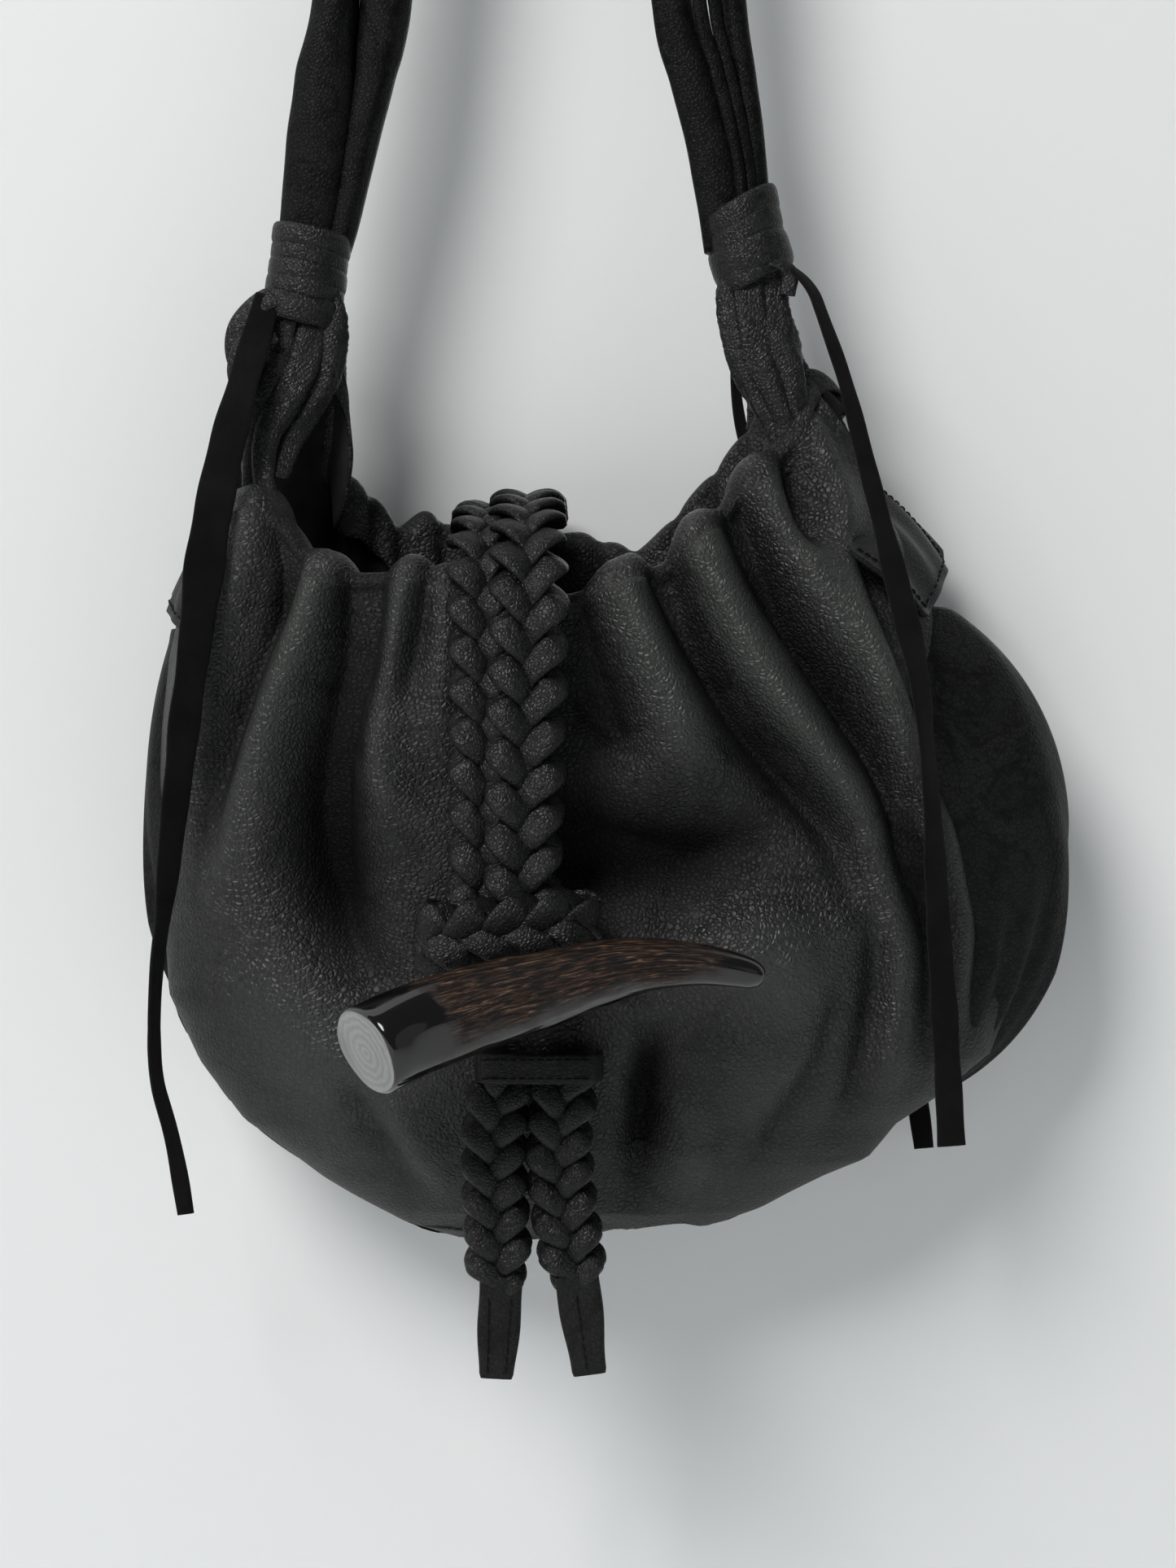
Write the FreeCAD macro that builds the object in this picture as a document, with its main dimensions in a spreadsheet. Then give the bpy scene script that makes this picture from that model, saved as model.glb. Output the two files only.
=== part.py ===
"""A gathered black leather shoulder bag with a horn toggle, as a parametric FreeCAD document.

The bag hangs from the top of its strap. Lengths are in millimetres. +Z is up, -Y is the front, and the
origin is the underside of the strap's top, where the hook carries it. The driving dimensions are the
cells of the spreadsheet "sizes"; routes are points chosen by hand that a cord or strip passes.
"""
import FreeCAD, Part
import math
import os

import Sketcher
from FreeCAD import Placement, Rotation, Vector

doc = FreeCAD.newDocument("gathered_bag")
X_AXIS, Y_AXIS, Z_AXIS = Vector(1, 0, 0), Vector(0, 1, 0), Vector(0, 0, 1)

# ---------------------------------------------------------------- driving dimensions

SIZES = [
    ("wall", 1.6, "thickness of the bag's leather"),
    ("lining_wall", 0.8, "thickness of the lining"),
    ("lining_gap", 0.3, "air between the leather and the lining"),
    ("lining_top", -462, "height of the lining's top edge"),
    ("back_plane", 40, "how far behind the strap the flat back lies"),
    ("hem_radius", 7, "outside of the rolled hem round the mouth"),
    ("hem_bore", 5, "channel in the hem for the draw strip"),
    ("strip_radius", 4.6, "folded draw strip that runs in the hem"),
    ("strand_radius", 5.8, "folded strand of the shoulder strap"),
    ("wrap_radius", 11.7, "outside of the lace wound round the strands"),
    ("wrap_bore", 10, "inside of the wound lace"),
    ("wrap_groove", 0.5, "depth of the groove between two turns"),
    ("wrap_left_length", 30, "length of the left wrap"),
    ("wrap_right_length", 29, "length of the right wrap"),
    ("lace_radius", 2.2, "lace that hangs from a wrap"),
    ("pocket_half_depth", 34, "side pocket, half size front to back"),
    ("pocket_left_x", -75, "middle of the left side pocket"),
    ("pocket_left_reach", 51, "left pocket, half size across the bag"),
    ("pocket_left_level", -515, "height of the left pocket's middle"),
    ("pocket_left_half_height", 95, "left pocket, half size up and down"),
    ("pocket_left_mouth", -460, "height of the left pocket's open edge"),
    ("pocket_right_x", 104, "middle of the right side pocket"),
    ("pocket_right_reach", 64.5, "right pocket, half size across the bag"),
    ("pocket_right_level", -531, "height of the right pocket's middle"),
    ("pocket_right_half_height", 75, "right pocket, half size up and down"),
    ("pocket_right_mouth", -470, "height of the right pocket's open edge"),
    ("flap_thickness", 1.8, "two layers of leather in a pocket flap"),
    ("flap_width", 52, "pocket flap, front to back"),
    ("flap_left_length", 41, "left pocket flap, hinge to edge"),
    ("flap_right_length", 33, "right pocket flap, hinge to edge"),
    ("flap_corner", 5, "radius of a flap's corners"),
    ("closure_x", -9.3, "middle of the closure across the bag"),
    ("braid_width", 16.2, "one braid of the closure"),
    ("braid_thick", 7, "thickness of a braid"),
    ("braid_gap", 0.4, "gap between the two braids"),
    ("loop_thick", 6, "thickness of the loop round the toggle's lace"),
    ("loop_half_width", 16.3, "outer half width of the loop"),
    ("loop_gap_radius", 2.9, "half of the loop's inner gap"),
    ("loop_top", -562.3, "height where the braids become the loop"),
    ("ring_half_width", 29, "sliding ring, half its length across"),
    ("ring_front", -62.5, "front face of the sliding ring"),
    ("ring_back", -45.1, "back face of the sliding ring"),
    ("ring_height", 15.5, "height of the sliding ring"),
    ("ring_bottom", -561.5, "lowest edge of the sliding ring"),
    ("ring_slot_half", 17.1, "half length of the slot in the ring"),
    ("ring_slot_front", -56.9, "front of the slot in the ring"),
    ("ring_slot_back", -49.1, "back of the slot in the ring"),
    ("stem_radius", 2.5, "folded lace that carries the toggle"),
    ("stem_hole", 2.6, "hole for that lace"),
    ("stem_level", -572.6, "height of the toggle's lace"),
    ("stem_front", -71, "how far the lace reaches into the horn"),
    ("stem_hole_front", -72, "bottom of the hole in the horn"),
    ("knot_radius", 5, "knot on the lace inside the bag"),
    ("knot_y", -37, "middle of that knot"),
    ("patch_radius", 8, "leather washer under the toggle"),
    ("patch_front", -45.8, "front face of the washer"),
    ("band_width", 38, "keeper band, across"),
    ("band_height", 8.6, "keeper band, up and down"),
    ("band_wall", 1.6, "thickness of the keeper band"),
    ("band_front", -55.2, "front face of the keeper band"),
    ("band_bottom", -599.8, "lowest edge of the keeper band"),
    ("band_x", -0.8, "middle of the keeper band"),
    ("root_height", 7, "fixed upper end of a tail"),
    ("root_width", 14.4, "width of that end"),
    ("tail_thick", 8, "thickness of a braided tail"),
    ("tail_width", 18, "width of a braided tail"),
    ("tail_y", -48.6, "middle of the tails, front to back"),
    ("tail_pivot", -605, "height about which a tail swings"),
    ("tail_left_length", 58, "left tail, pivot to tip"),
    ("tail_right_length", 57, "right tail, pivot to tip"),
    ("tail_left_x", -10.6, "middle of the left tail's root"),
    ("tail_right_x", 8, "middle of the right tail's root"),
    ("tip_length", 25, "stitched end of a tail"),
    ("tip_width", 12.5, "width of the stitched end"),
    ("tip_thick", 5, "thickness of the stitched end"),
    ("tab_width", 33, "sewn tab that holds the closure at the back"),
    ("tab_height", 28, "height of the sewn tab"),
    ("tab_top", -427.6, "top edge of the sewn tab"),
    ("tab_back", 38.8, "back face of the sewn tab"),
    ("closure_pivot_y", 36, "line about which the closure lifts"),
    ("closure_pivot_z", -422.6, "height of that line"),
]

# Level of the bag's outside: height, middle across, half width, half depth, and the horizontal run of
# the wall there, which grows where the side leans in towards the keel.
LEVELS = [
    ("crown", -392, 5.5, 94.5, 12, 1.8),
    ("ear", -416, 3.5, 106, 22, 1.8),
    ("rim", -442, 5, 112, 33, 1.8),
    ("shoulder", -468, 10, 118, 38, 1.6),
    ("chest", -494, 16, 125, 42, 1.6),
    ("belly", -525, 21, 131, 44, 1.6),
    ("waist", -559, 22, 130, 44, 1.6),
    ("hip", -593, 20.5, 121, 41, 1.8),
    ("seat", -624, 15.5, 96, 33, 2.4),
    ("keel", -645, 14.6, 62, 20, 4.5),
    ("foot", -653.5, 14.6, 38, 8, 5.5),
]
LEVEL_SIZES = ("height", "middle", "half_width", "half_depth", "wall_run")

# Stations along the horn: place of the middle, and radius.
HORN = [
    (-47.5, -88.0, -587.0, 13.4),
    (-37.0, -85.0, -582.5, 13.3),
    (-23.0, -81.5, -577.8, 12.9),
    (-9.3, -78.0, -573.8, 12.0),
    (3.0, -76.0, -570.6, 11.1),
    (19.4, -73.5, -565.6, 9.9),
    (33.8, -71.5, -563.0, 7.9),
    (50.6, -70.0, -563.4, 5.9),
    (60.0, -69.5, -564.8, 4.4),
    (65.5, -69.5, -565.9, 2.2),
]

# ---------------------------------------------------------------- routes

FRONT_HEM = [
    (-73, -7, -392), (-76, -18, -428), (-62, -28, -450), (-20, -34, -452),
    (22, -34, -451), (46, -27, -434), (73, -9, -396),
]
BACK_HEM = [
    (-67, 8, -392), (-70, 16, -415), (-51, 24.5, -434), (0, 29.5, -435.5),
    (28, 28.5, -434), (51, 21, -420), (75, 9, -394),
]
FRONT_STRIP = [(-73.2, -5, -335), (-76, -5, -363)] + FRONT_HEM + [(68, -5, -352), (62.5, -5, -325)]
BACK_STRIP = [(-73.2, 5, -335), (-76, 5, -363)] + BACK_HEM + [(68.5, 5, -352), (62.5, 5, -325)]
OUTER_STRAND = [
    (-77.2, 0, -322.9), (-62.8, 0, -257), (-42, 0, -75), (-38, 0, 18.3),
    (38, 0, 18.3), (42, 0, -75), (56.4, 0, -257), (66.2, 0, -311.5),
]
INNER_STRAND = [
    (-64.9, 0, -321.9), (-50.3, 0, -257), (-29.5, 0, -80), (-25.8, 0, 6),
    (25.8, 0, 6), (29.5, 0, -80), (43.8, 0, -257), (53.9, 0, -312.5),
]
LEFT_LACE = [
    (-86, -9, -356), (-90.5, -17, -376), (-95.5, -25, -398), (-100.5, -30, -424), (-103.5, -33, -447),
    (-106, -34, -470), (-108.6, -35, -489), (-110.6, -35, -508), (-113, -34, -527), (-115, -33, -546),
    (-118.2, -30, -566), (-119.4, -28, -586), (-119, -26, -603), (-115, -25, -616), (-112, -25, -630),
    (-109.8, -25, -644),
]
RIGHT_LACE = [
    (78.4, -8, -346.5), (85, -13.5, -352), (89, -20, -366), (95, -24, -384), (100.5, -28, -408),
    (106, -32, -431), (111.3, -35.5, -454), (116.6, -38.5, -477), (118.6, -39.5, -499), (120.4, -40, -520),
    (121.4, -40, -540), (122.7, -38.5, -560), (124.4, -36, -580), (125.9, -33, -600), (127.2, -31, -622),
]
REAR_LACE = [
    (72, 13, -351), (65.5, 18, -359), (62.8, 20.5, -374), (64.5, 22.5, -392), (70, 25, -410),
    (79, 28, -430), (88, 32.5, -452), (96, 36.5, -474), (104, 37.5, -498), (110, 37.5, -522),
    (114.5, 37.5, -546), (118, 36.5, -570), (121, 33, -594), (124, 28, -616), (125.4, 25, -630),
]
# The closure, seen from the side: over the back hem, across the mouth, over the front hem and down.
CLOSURE_SIDE = [
    (36, -422.6), (14, -422), (-12, -425), (-34, -434), (-46.5, -448), (-51, -471), (-53, -497), (-53, -562.3),
]
FOLD_LINE = [Vector(-71, 0, -322.4), Vector(60, 0, -312)]
WRAP_FEET = [Vector(-75.9, 0, -362.7), Vector(68.1, 0, -351.5)]

# ---------------------------------------------------------------- spreadsheet

sheet = doc.addObject("Spreadsheet::Sheet", "sizes")


def write_cells():
    """Writes every driving dimension to the spreadsheet, one row each, with its alias."""
    rows = list(SIZES)
    for name, *numbers in LEVELS:
        rows += [(f"{name}_{size}", n, f"{size} of the {name}") for size, n in zip(LEVEL_SIZES, numbers)]
    rows += [(f"horn_radius_{i + 1}", s[3], "radius along the horn") for i, s in enumerate(HORN)]
    for row, (alias, number, note) in enumerate(rows, start=1):
        sheet.set(f"A{row}", note)
        sheet.set(f"B{row}", str(number))
        sheet.setAlias(f"B{row}", alias)
    doc.recompute()


write_cells()


def size(alias):
    """The number in one cell of the spreadsheet."""
    return float(getattr(sheet, alias))


# ---------------------------------------------------------------- small tools

parts = []


def keep(obj, label):
    """Marks a finished sub-part: its label names its node and its file."""
    obj.Label = label
    parts.append(obj)
    return obj


def bind(obj, **cells):
    """Binds properties of an object to expressions of the spreadsheet's aliases."""
    for prop, expression in cells.items():
        obj.setExpression(prop, expression)
    return obj


def move(obj, x, y, z):
    """Binds an object's place to three expressions."""
    for axis, expression in zip("xyz", (x, y, z)):
        obj.setExpression(f"Placement.Base.{axis}", str(expression))
    return obj


def box(name, low, high):
    """A box between two corners, each given as three expressions."""
    made = doc.addObject("Part::Box", name)
    for prop, a, b in zip(("Length", "Width", "Height"), low, high):
        made.setExpression(prop, f"({b}) - ({a})")
    return move(made, *low)


def cut(name, base, tool):
    made = doc.addObject("Part::Cut", name)
    made.Base, made.Tool = base, tool
    return made


def fuse(name, base, tool):
    made = doc.addObject("Part::Fuse", name)
    made.Base, made.Tool = base, tool
    return made


def common(name, base, tool):
    made = doc.addObject("Part::Common", name)
    made.Base, made.Tool = base, tool
    return made


def cylinder_y(name, radius, x, z, y_low, y_high):
    """A round rod along Y between two places."""
    made = bind(doc.addObject("Part::Cylinder", name), Radius=radius, Height=f"({y_high}) - ({y_low})")
    made.Placement.Rotation = Rotation(Z_AXIS, Y_AXIS)
    return move(made, x, y_low, z)


def rounded_wire(points):
    """Straight runs joined by arcs as large as the shorter of their two runs allows."""
    points = [Vector(*p) for p in points]
    edges, last, radii = [], points[0], []
    for before, here, after in zip(points, points[1:], points[2:]):
        into, out = here - before, after - here
        reach = 0.45 * min(into.Length, out.Length)
        turn = into.getAngle(out)
        into.normalize()
        out.normalize()
        start, end = here - into * reach, here + out * reach
        radius = reach / math.tan(turn / 2)
        radii.append(radius)
        inward = (out - into).normalize()
        middle = here + inward * (radius / math.cos(turn / 2) - radius)
        edges.append(Part.LineSegment(last, start).toShape())
        edges.append(Part.Arc(start, middle, end).toShape())
        last = end
    edges.append(Part.LineSegment(last, points[-1]).toShape())
    return Part.Wire(edges), radii


def tube(name, points, radius):
    """A round rod swept along a rounded route; its radius is an expression."""
    wire, radii = rounded_wire(points)
    route = doc.addObject("Part::Feature", f"{name}_route")
    route.Shape = wire
    ring = bind(doc.addObject("Part::Circle", f"{name}_section"), Radius=radius)
    start, following = Vector(*points[0]), Vector(*points[1])
    ring.Placement = Placement(start, Rotation(Z_AXIS, following - start))
    made = doc.addObject("Part::Sweep", name)
    made.Sections = [ring]
    made.Spine = (route, [f"Edge{i + 1}" for i in range(len(wire.Edges))])
    made.Solid, made.Frenet = True, False
    print(f"{name}: length {wire.Length:.1f}, smallest bend {min(radii):.1f}")
    return made


def check_tube(made, radius):
    """Compares a tube's volume with its section times its length."""
    length = made.Spine[0].Shape.Length
    share = made.Shape.Volume / (math.pi * radius**2 * length)
    if abs(share - 1) > 0.02:
        raise RuntimeError(f"{made.Name}: volume is {share:.3f} of section times length")


def new_body(name):
    return doc.addObject("PartDesign::Body", name)


def new_sketch(body, plane, name):
    """A sketch on one of the body's own origin planes: XY, XZ or YZ."""
    sketch = body.newObject("Sketcher::SketchObject", name)
    plane = next(f for f in body.Origin.OriginFeatures if f.Role == f"{plane}_Plane")
    sketch.AttachmentSupport = [(plane, "")]
    sketch.MapMode = "FlatFace"
    return sketch


def draw_outline(sketch, points):
    """Joins points with straight lines into a closed outline."""
    corners = [Vector(x, y, 0) for x, y in points]
    first = sketch.GeometryCount
    for a, b in zip(corners, corners[1:] + corners[:1]):
        sketch.addGeometry(Part.LineSegment(a, b))
    last = sketch.GeometryCount - 1
    for i in range(first, last + 1):
        following = first if i == last else i + 1
        sketch.addConstraint(Sketcher.Constraint("Coincident", i, 2, following, 1))


def draw_rectangle(sketch, width, height):
    """A rectangle centred on the sketch's origin, its sides bound to two expressions."""
    draw_outline(sketch, [(-5, -5), (5, -5), (5, 5), (-5, 5)])
    for line, kind in enumerate(("Horizontal", "Vertical", "Horizontal", "Vertical")):
        sketch.addConstraint(Sketcher.Constraint(kind, line))
    sketch.addConstraint(Sketcher.Constraint("Symmetric", 0, 1, 2, 1, -1, 1))
    for name, line, kind, expression in (
        ("width", 0, "DistanceX", width),
        ("height", 1, "DistanceY", height),
    ):
        index = sketch.addConstraint(Sketcher.Constraint(kind, line, 1, line, 2, 10.0))
        sketch.renameConstraint(index, name)
        sketch.setExpression(f"Constraints.{name}", expression)


def pad(body, sketch, length, name, midplane=False):
    made = bind(body.newObject("PartDesign::Pad", name), Length=length)
    made.Profile = sketch
    if midplane:
        made.SideType = "Symmetric"
    return made


def plate(name, width, height, thickness, corner):
    """A flat leather plate in the XZ plane, hanging down from its own origin, with rounded lower corners."""
    body = new_body(name)
    sketch = new_sketch(body, "XY", f"{name}_outline")
    draw_rectangle(sketch, width, height)
    solid = pad(body, sketch, thickness, f"{name}_pad")
    doc.recompute()
    uprights = [
        f"Edge{i + 1}"
        for i, e in enumerate(solid.Shape.Edges)
        if abs(e.tangentAt(e.FirstParameter).z) > 0.99 and e.Vertexes[0].Y > 0
    ]
    rounded = bind(body.newObject("PartDesign::Fillet", f"{name}_corners"), Radius=corner)
    rounded.Base = (solid, uprights)
    return body


# ---------------------------------------------------------------- bag: leather, hems, lining


def level_loft(name, inset, low_lift="0"):
    """The bag's form lofted through an ellipse at each level, shrunk by an expression of the level."""
    rings = []
    for i, (level, *_) in enumerate(LEVELS):
        less = inset.format(level=level)
        ring = bind(
            doc.addObject("Part::Ellipse", f"{name}_{level}"),
            MajorRadius=f"sizes.{level}_half_width - ({less})",
            MinorRadius=f"sizes.{level}_half_depth - ({less})",
        )
        lift = low_lift if i == len(LEVELS) - 1 else "0"
        move(ring, f"sizes.{level}_middle", "0", f"sizes.{level}_height + ({lift})")
        rings.append(ring)
    made = doc.addObject("Part::Loft", name)
    made.Sections = rings
    made.Solid, made.Ruled = True, False
    return made


def limited(name, loft, top, back):
    """The part of a loft below a height and in front of the flat back."""
    room = box(f"{name}_room", ("-200", "-80", "-700"), ("220", back, top))
    return common(name, loft, room)


outside = limited("outside", level_loft("outside_form", "0"), "-380", "sizes.back_plane")
inside = limited(
    "inside",
    level_loft("inside_form", "sizes.{level}_wall_run", "sizes.wall"),
    "-380",
    "sizes.back_plane - sizes.wall",
)
skin = cut("skin", outside, inside)


def mouth(name, hem):
    """The wedge above a hem that leaves the mouth open: everything over the hem's middle line."""
    body = new_body(name)
    sketch = new_sketch(body, "XZ", f"{name}_outline")
    line = [(x, z) for x, _, z in hem]
    draw_outline(sketch, line + [(line[-1][0] + 4, -370), (line[0][0], -370)])
    pad(body, sketch, "200", f"{name}_pad", midplane=True)
    return body


def panel(name, hem, strip, half, extra_cut=None):
    """One half of the skin, with its top edge rolled into a hem that holds a draw strip."""
    flat = cut(f"{name}_trimmed", common(f"{name}_half", skin, half), mouth(f"{name}_mouth", hem))
    roll = tube(f"{name}_roll", hem, "sizes.hem_radius")
    channel = tube(f"{name}_channel", strip, "sizes.hem_bore")
    made = fuse(f"{name}_body", cut(f"{name}_open", flat, channel), cut(f"{name}_hem", roll, channel))
    return cut(f"{name}_drilled", made, extra_cut) if extra_cut else made


stem_hole = cylinder_y(
    "stem_hole_tool", "sizes.stem_hole", "sizes.closure_x", "sizes.stem_level", "-60", "-30"
)
keep(panel("front", FRONT_HEM, FRONT_STRIP, box("front_room", ("-200", "-80", "-700"), ("220", "0", "-370")),
           stem_hole), "front_panel")
keep(panel("back", BACK_HEM, BACK_STRIP, box("back_room", ("-200", "0", "-700"), ("220", "80", "-370"))),
     "back_panel")
keep(tube("front_strip", FRONT_STRIP, "sizes.strip_radius"), "front_draw_strip")
keep(tube("back_strip", BACK_STRIP, "sizes.strip_radius"), "back_draw_strip")


def make_lining():
    """A thin pouch inside the leather, with a hole where the toggle's knot sits."""
    gap = "sizes.{level}_wall_run + sizes.lining_gap"
    outer = limited(
        "lining_outside",
        level_loft("lining_outer_form", gap, "sizes.wall + sizes.lining_gap"),
        "sizes.lining_top",
        "sizes.back_plane - sizes.wall - sizes.lining_gap",
    )
    inner = limited(
        "lining_inside",
        level_loft("lining_inner_form", gap + " + sizes.lining_wall", "sizes.wall + 3 * sizes.lining_gap"),
        "sizes.lining_top + 1",
        "sizes.back_plane - sizes.wall - sizes.lining_gap - sizes.lining_wall",
    )
    hole = cylinder_y(
        "knot_hole", "sizes.knot_radius + 1", "sizes.closure_x", "sizes.stem_level", "-60", "-20"
    )
    return cut("lining_body", cut("lining_pouch", outer, inner), hole)


keep(make_lining(), "lining")

# ---------------------------------------------------------------- shoulder strap and its wraps


def make_strand(name, route):
    """A strand of the strap, with a ball at each end that turns on the fold line."""
    made = tube(f"{name}_run", route, "sizes.strand_radius")
    for end, place in (("left", route[0]), ("right", route[-1])):
        ball = bind(doc.addObject("Part::Sphere", f"{name}_{end}_ball"), Radius="sizes.strand_radius")
        ball.Placement.Base = Vector(*place)
        made = fuse(f"{name}_with_{end}", made, ball)
    return made


keep(make_strand("outer_strand", OUTER_STRAND), "strap_strand_outer")
keep(make_strand("inner_strand", INNER_STRAND), "strap_strand_inner")


def make_wrap(name, turns, length, foot, top):
    """Lace wound round the gathered strands: a sleeve with one rounded bulge for each turn."""
    body = new_body(name)
    sketch = new_sketch(body, "XZ", f"{name}_profile")
    bore, outer, groove = size("wrap_bore"), size("wrap_radius"), size("wrap_groove")
    pitch = size(length) / turns
    outline = [(bore, 0)]
    for turn in range(turns):
        base = turn * pitch
        outline += [
            (outer - groove, base),
            (outer, base + 0.2 * pitch),
            (outer, base + 0.8 * pitch),
            (outer - groove, base + pitch),
        ][1 if turn else 0:]
    outline.append((bore, size(length)))
    draw_outline(sketch, outline)
    turned = body.newObject("PartDesign::Revolution", f"{name}_turns")
    turned.Profile = sketch
    turned.ReferenceAxis = (sketch, ["V_Axis"])
    turned.Angle = 360
    body.Placement = Placement(foot, Rotation(Z_AXIS, top - foot))
    return body


keep(make_wrap("left_wrap", 5, "wrap_left_length", WRAP_FEET[0], FOLD_LINE[0]), "wrap_left")
keep(make_wrap("right_wrap", 3, "wrap_right_length", WRAP_FEET[1], FOLD_LINE[1]), "wrap_right")
keep(tube("left_lace", LEFT_LACE, "sizes.lace_radius"), "lace_left")
keep(tube("right_lace", RIGHT_LACE, "sizes.lace_radius"), "lace_right")
keep(tube("rear_lace", REAR_LACE, "sizes.lace_radius"), "lace_rear")

# ---------------------------------------------------------------- side pockets and their flaps


def make_pocket(side):
    """A bulging pocket on one side of the bag, open at its top."""

    def ellipsoid(name, less):
        made = bind(
            doc.addObject("Part::Ellipsoid", name),
            Radius1=f"sizes.pocket_{side}_half_height - {less}",
            Radius2=f"sizes.pocket_{side}_reach - {less}",
            Radius3=f"sizes.pocket_half_depth - {less}",
        )
        return move(made, f"sizes.pocket_{side}_x", "0", f"sizes.pocket_{side}_level")

    bulge, hollow = ellipsoid(f"{side}_bulge", "0"), ellipsoid(f"{side}_hollow", "sizes.wall")
    shell = cut(f"{side}_pocket_shell", bulge, hollow)
    room = box(f"{side}_pocket_top", ("-200", "-80", f"sizes.pocket_{side}_mouth"), ("220", "80", "-400"))
    return cut(f"{side}_pocket_body", cut(f"{side}_pocket_open", shell, room), outside)


keep(make_pocket("left"), "pocket_left")
keep(make_pocket("right"), "pocket_right")

FLAPS = {
    "left": (Vector(-105.6, 0, -420), Vector(-121, 0, -459)),
    "right": (Vector(111.5, 0, -417.5), Vector(133.5, 0, -442.5)),
}


def make_flap(side):
    """A leather flap that hangs over the pocket's mouth from its upper edge."""
    body = plate(f"{side}_flap", "sizes.flap_width", f"sizes.flap_{side}_length", "sizes.flap_thickness",
                 "sizes.flap_corner")
    hinge, edge = FLAPS[side]
    down = (edge - hinge).normalize()
    across = Y_AXIS if side == "left" else -Y_AXIS
    outward = across.cross(down)
    turn = Rotation(across, down, outward, "XYZ")
    middle = hinge + down * (size(f"flap_{side}_length") / 2)
    body.Placement = Placement(middle, turn)
    return body


keep(make_flap("left"), "flap_left")
keep(make_flap("right"), "flap_right")

# ---------------------------------------------------------------- closure: tab, braids, loop, ring


def make_braid(name, side):
    """One braid of the closure, swept along its route over the mouth, with a rounded end to turn on."""
    middle = f"sizes.closure_x + {side} * (sizes.braid_width + sizes.braid_gap) / 2"
    wire, _ = rounded_wire([(0, y, z) for y, z in CLOSURE_SIDE])
    route = doc.addObject("Part::Feature", f"{name}_route")
    route.Shape = wire
    section = doc.addObject("Part::Plane", f"{name}_section")
    bind(section, Length="sizes.braid_width", Width="sizes.braid_thick")
    section.Placement.Rotation = Rotation(X_AXIS, 90)
    move(section, "-sizes.braid_width / 2", "sizes.closure_pivot_y",
         "sizes.closure_pivot_z - sizes.braid_thick / 2")
    run = doc.addObject("Part::Sweep", f"{name}_run")
    run.Sections = [section]
    run.Spine = (route, [f"Edge{i + 1}" for i in range(len(wire.Edges))])
    run.Solid, run.Frenet = True, False
    end = bind(doc.addObject("Part::Cylinder", f"{name}_end"), Radius="sizes.braid_thick / 2",
               Height="sizes.braid_width")
    end.Placement.Rotation = Rotation(Y_AXIS, 90)
    move(end, "-sizes.braid_width / 2", "sizes.closure_pivot_y", "sizes.closure_pivot_z")
    return move(fuse(name, run, end), middle, "0", "0")


keep(make_braid("left_braid", "-1"), "closure_braid_left")
keep(make_braid("right_braid", "1"), "closure_braid_right")


def make_loop():
    """The loop at the end of the closure, which goes round the toggle's lace."""
    body = new_body("loop")
    sketch = new_sketch(body, "XZ", "loop_outline")
    outer, inner = size("loop_half_width"), size("loop_gap_radius")
    top = size("loop_top") - size("stem_level")
    middle = Vector(0, 0, 0)

    def arc(radius):
        circle = Part.Circle(middle, Z_AXIS, radius)
        return Part.ArcOfCircle(circle, math.pi, 2 * math.pi)

    outline = [
        Part.LineSegment(Vector(-outer, top, 0), Vector(-outer, 0, 0)),
        arc(outer),
        Part.LineSegment(Vector(outer, 0, 0), Vector(outer, top, 0)),
        Part.LineSegment(Vector(outer, top, 0), Vector(inner, top, 0)),
        Part.LineSegment(Vector(inner, top, 0), Vector(inner, 0, 0)),
        arc(inner),
        Part.LineSegment(Vector(-inner, 0, 0), Vector(-inner, top, 0)),
        Part.LineSegment(Vector(-inner, top, 0), Vector(-outer, top, 0)),
    ]
    for edge in outline:
        sketch.addGeometry(edge)
    pad(body, sketch, "sizes.loop_thick", "loop_pad", midplane=True)
    return move(body, "sizes.closure_x", str(CLOSURE_SIDE[-1][0]), "sizes.stem_level")


keep(make_loop(), "closure_loop")


def make_ring():
    """The braided ring that slides on the two braids, as a rounded block with a slot."""
    half, slot = "sizes.ring_half_width", "sizes.ring_slot_half"
    block = box(
        "ring_block",
        (f"sizes.closure_x - {half}", "sizes.ring_front", "sizes.ring_bottom"),
        (f"sizes.closure_x + {half}", "sizes.ring_back", "sizes.ring_bottom + sizes.ring_height"),
    )
    opening = box(
        "ring_slot",
        (f"sizes.closure_x - {slot}", "sizes.ring_slot_front", "sizes.ring_bottom - 1"),
        (f"sizes.closure_x + {slot}", "sizes.ring_slot_back", "sizes.ring_bottom + sizes.ring_height + 1"),
    )
    doc.recompute()
    rounded = doc.addObject("Part::Fillet", "ring_rounded")
    rounded.Base = block
    uprights = [i + 1 for i, e in enumerate(block.Shape.Edges) if abs(e.tangentAt(0).z) > 0.99]
    radius = 6.0
    rounded.Edges = [(i, radius, radius) for i in uprights]
    return cut("ring", rounded, opening)


keep(make_ring(), "closure_ring")


def make_tab():
    """The sewn tab behind the back hem that anchors the closure."""
    half = "sizes.tab_width / 2"
    block = box(
        "tab_block",
        (f"sizes.closure_x - {half}", "33", "sizes.tab_top - sizes.tab_height"),
        (f"sizes.closure_x + {half}", "sizes.tab_back", "sizes.tab_top"),
    )
    clear_hem = cut("tab_on_hem", block, doc.getObject("back_roll"))
    return cut("tab", clear_hem, outside)


keep(make_tab(), "closure_anchor_tab")

# ---------------------------------------------------------------- horn toggle and its lace


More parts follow.
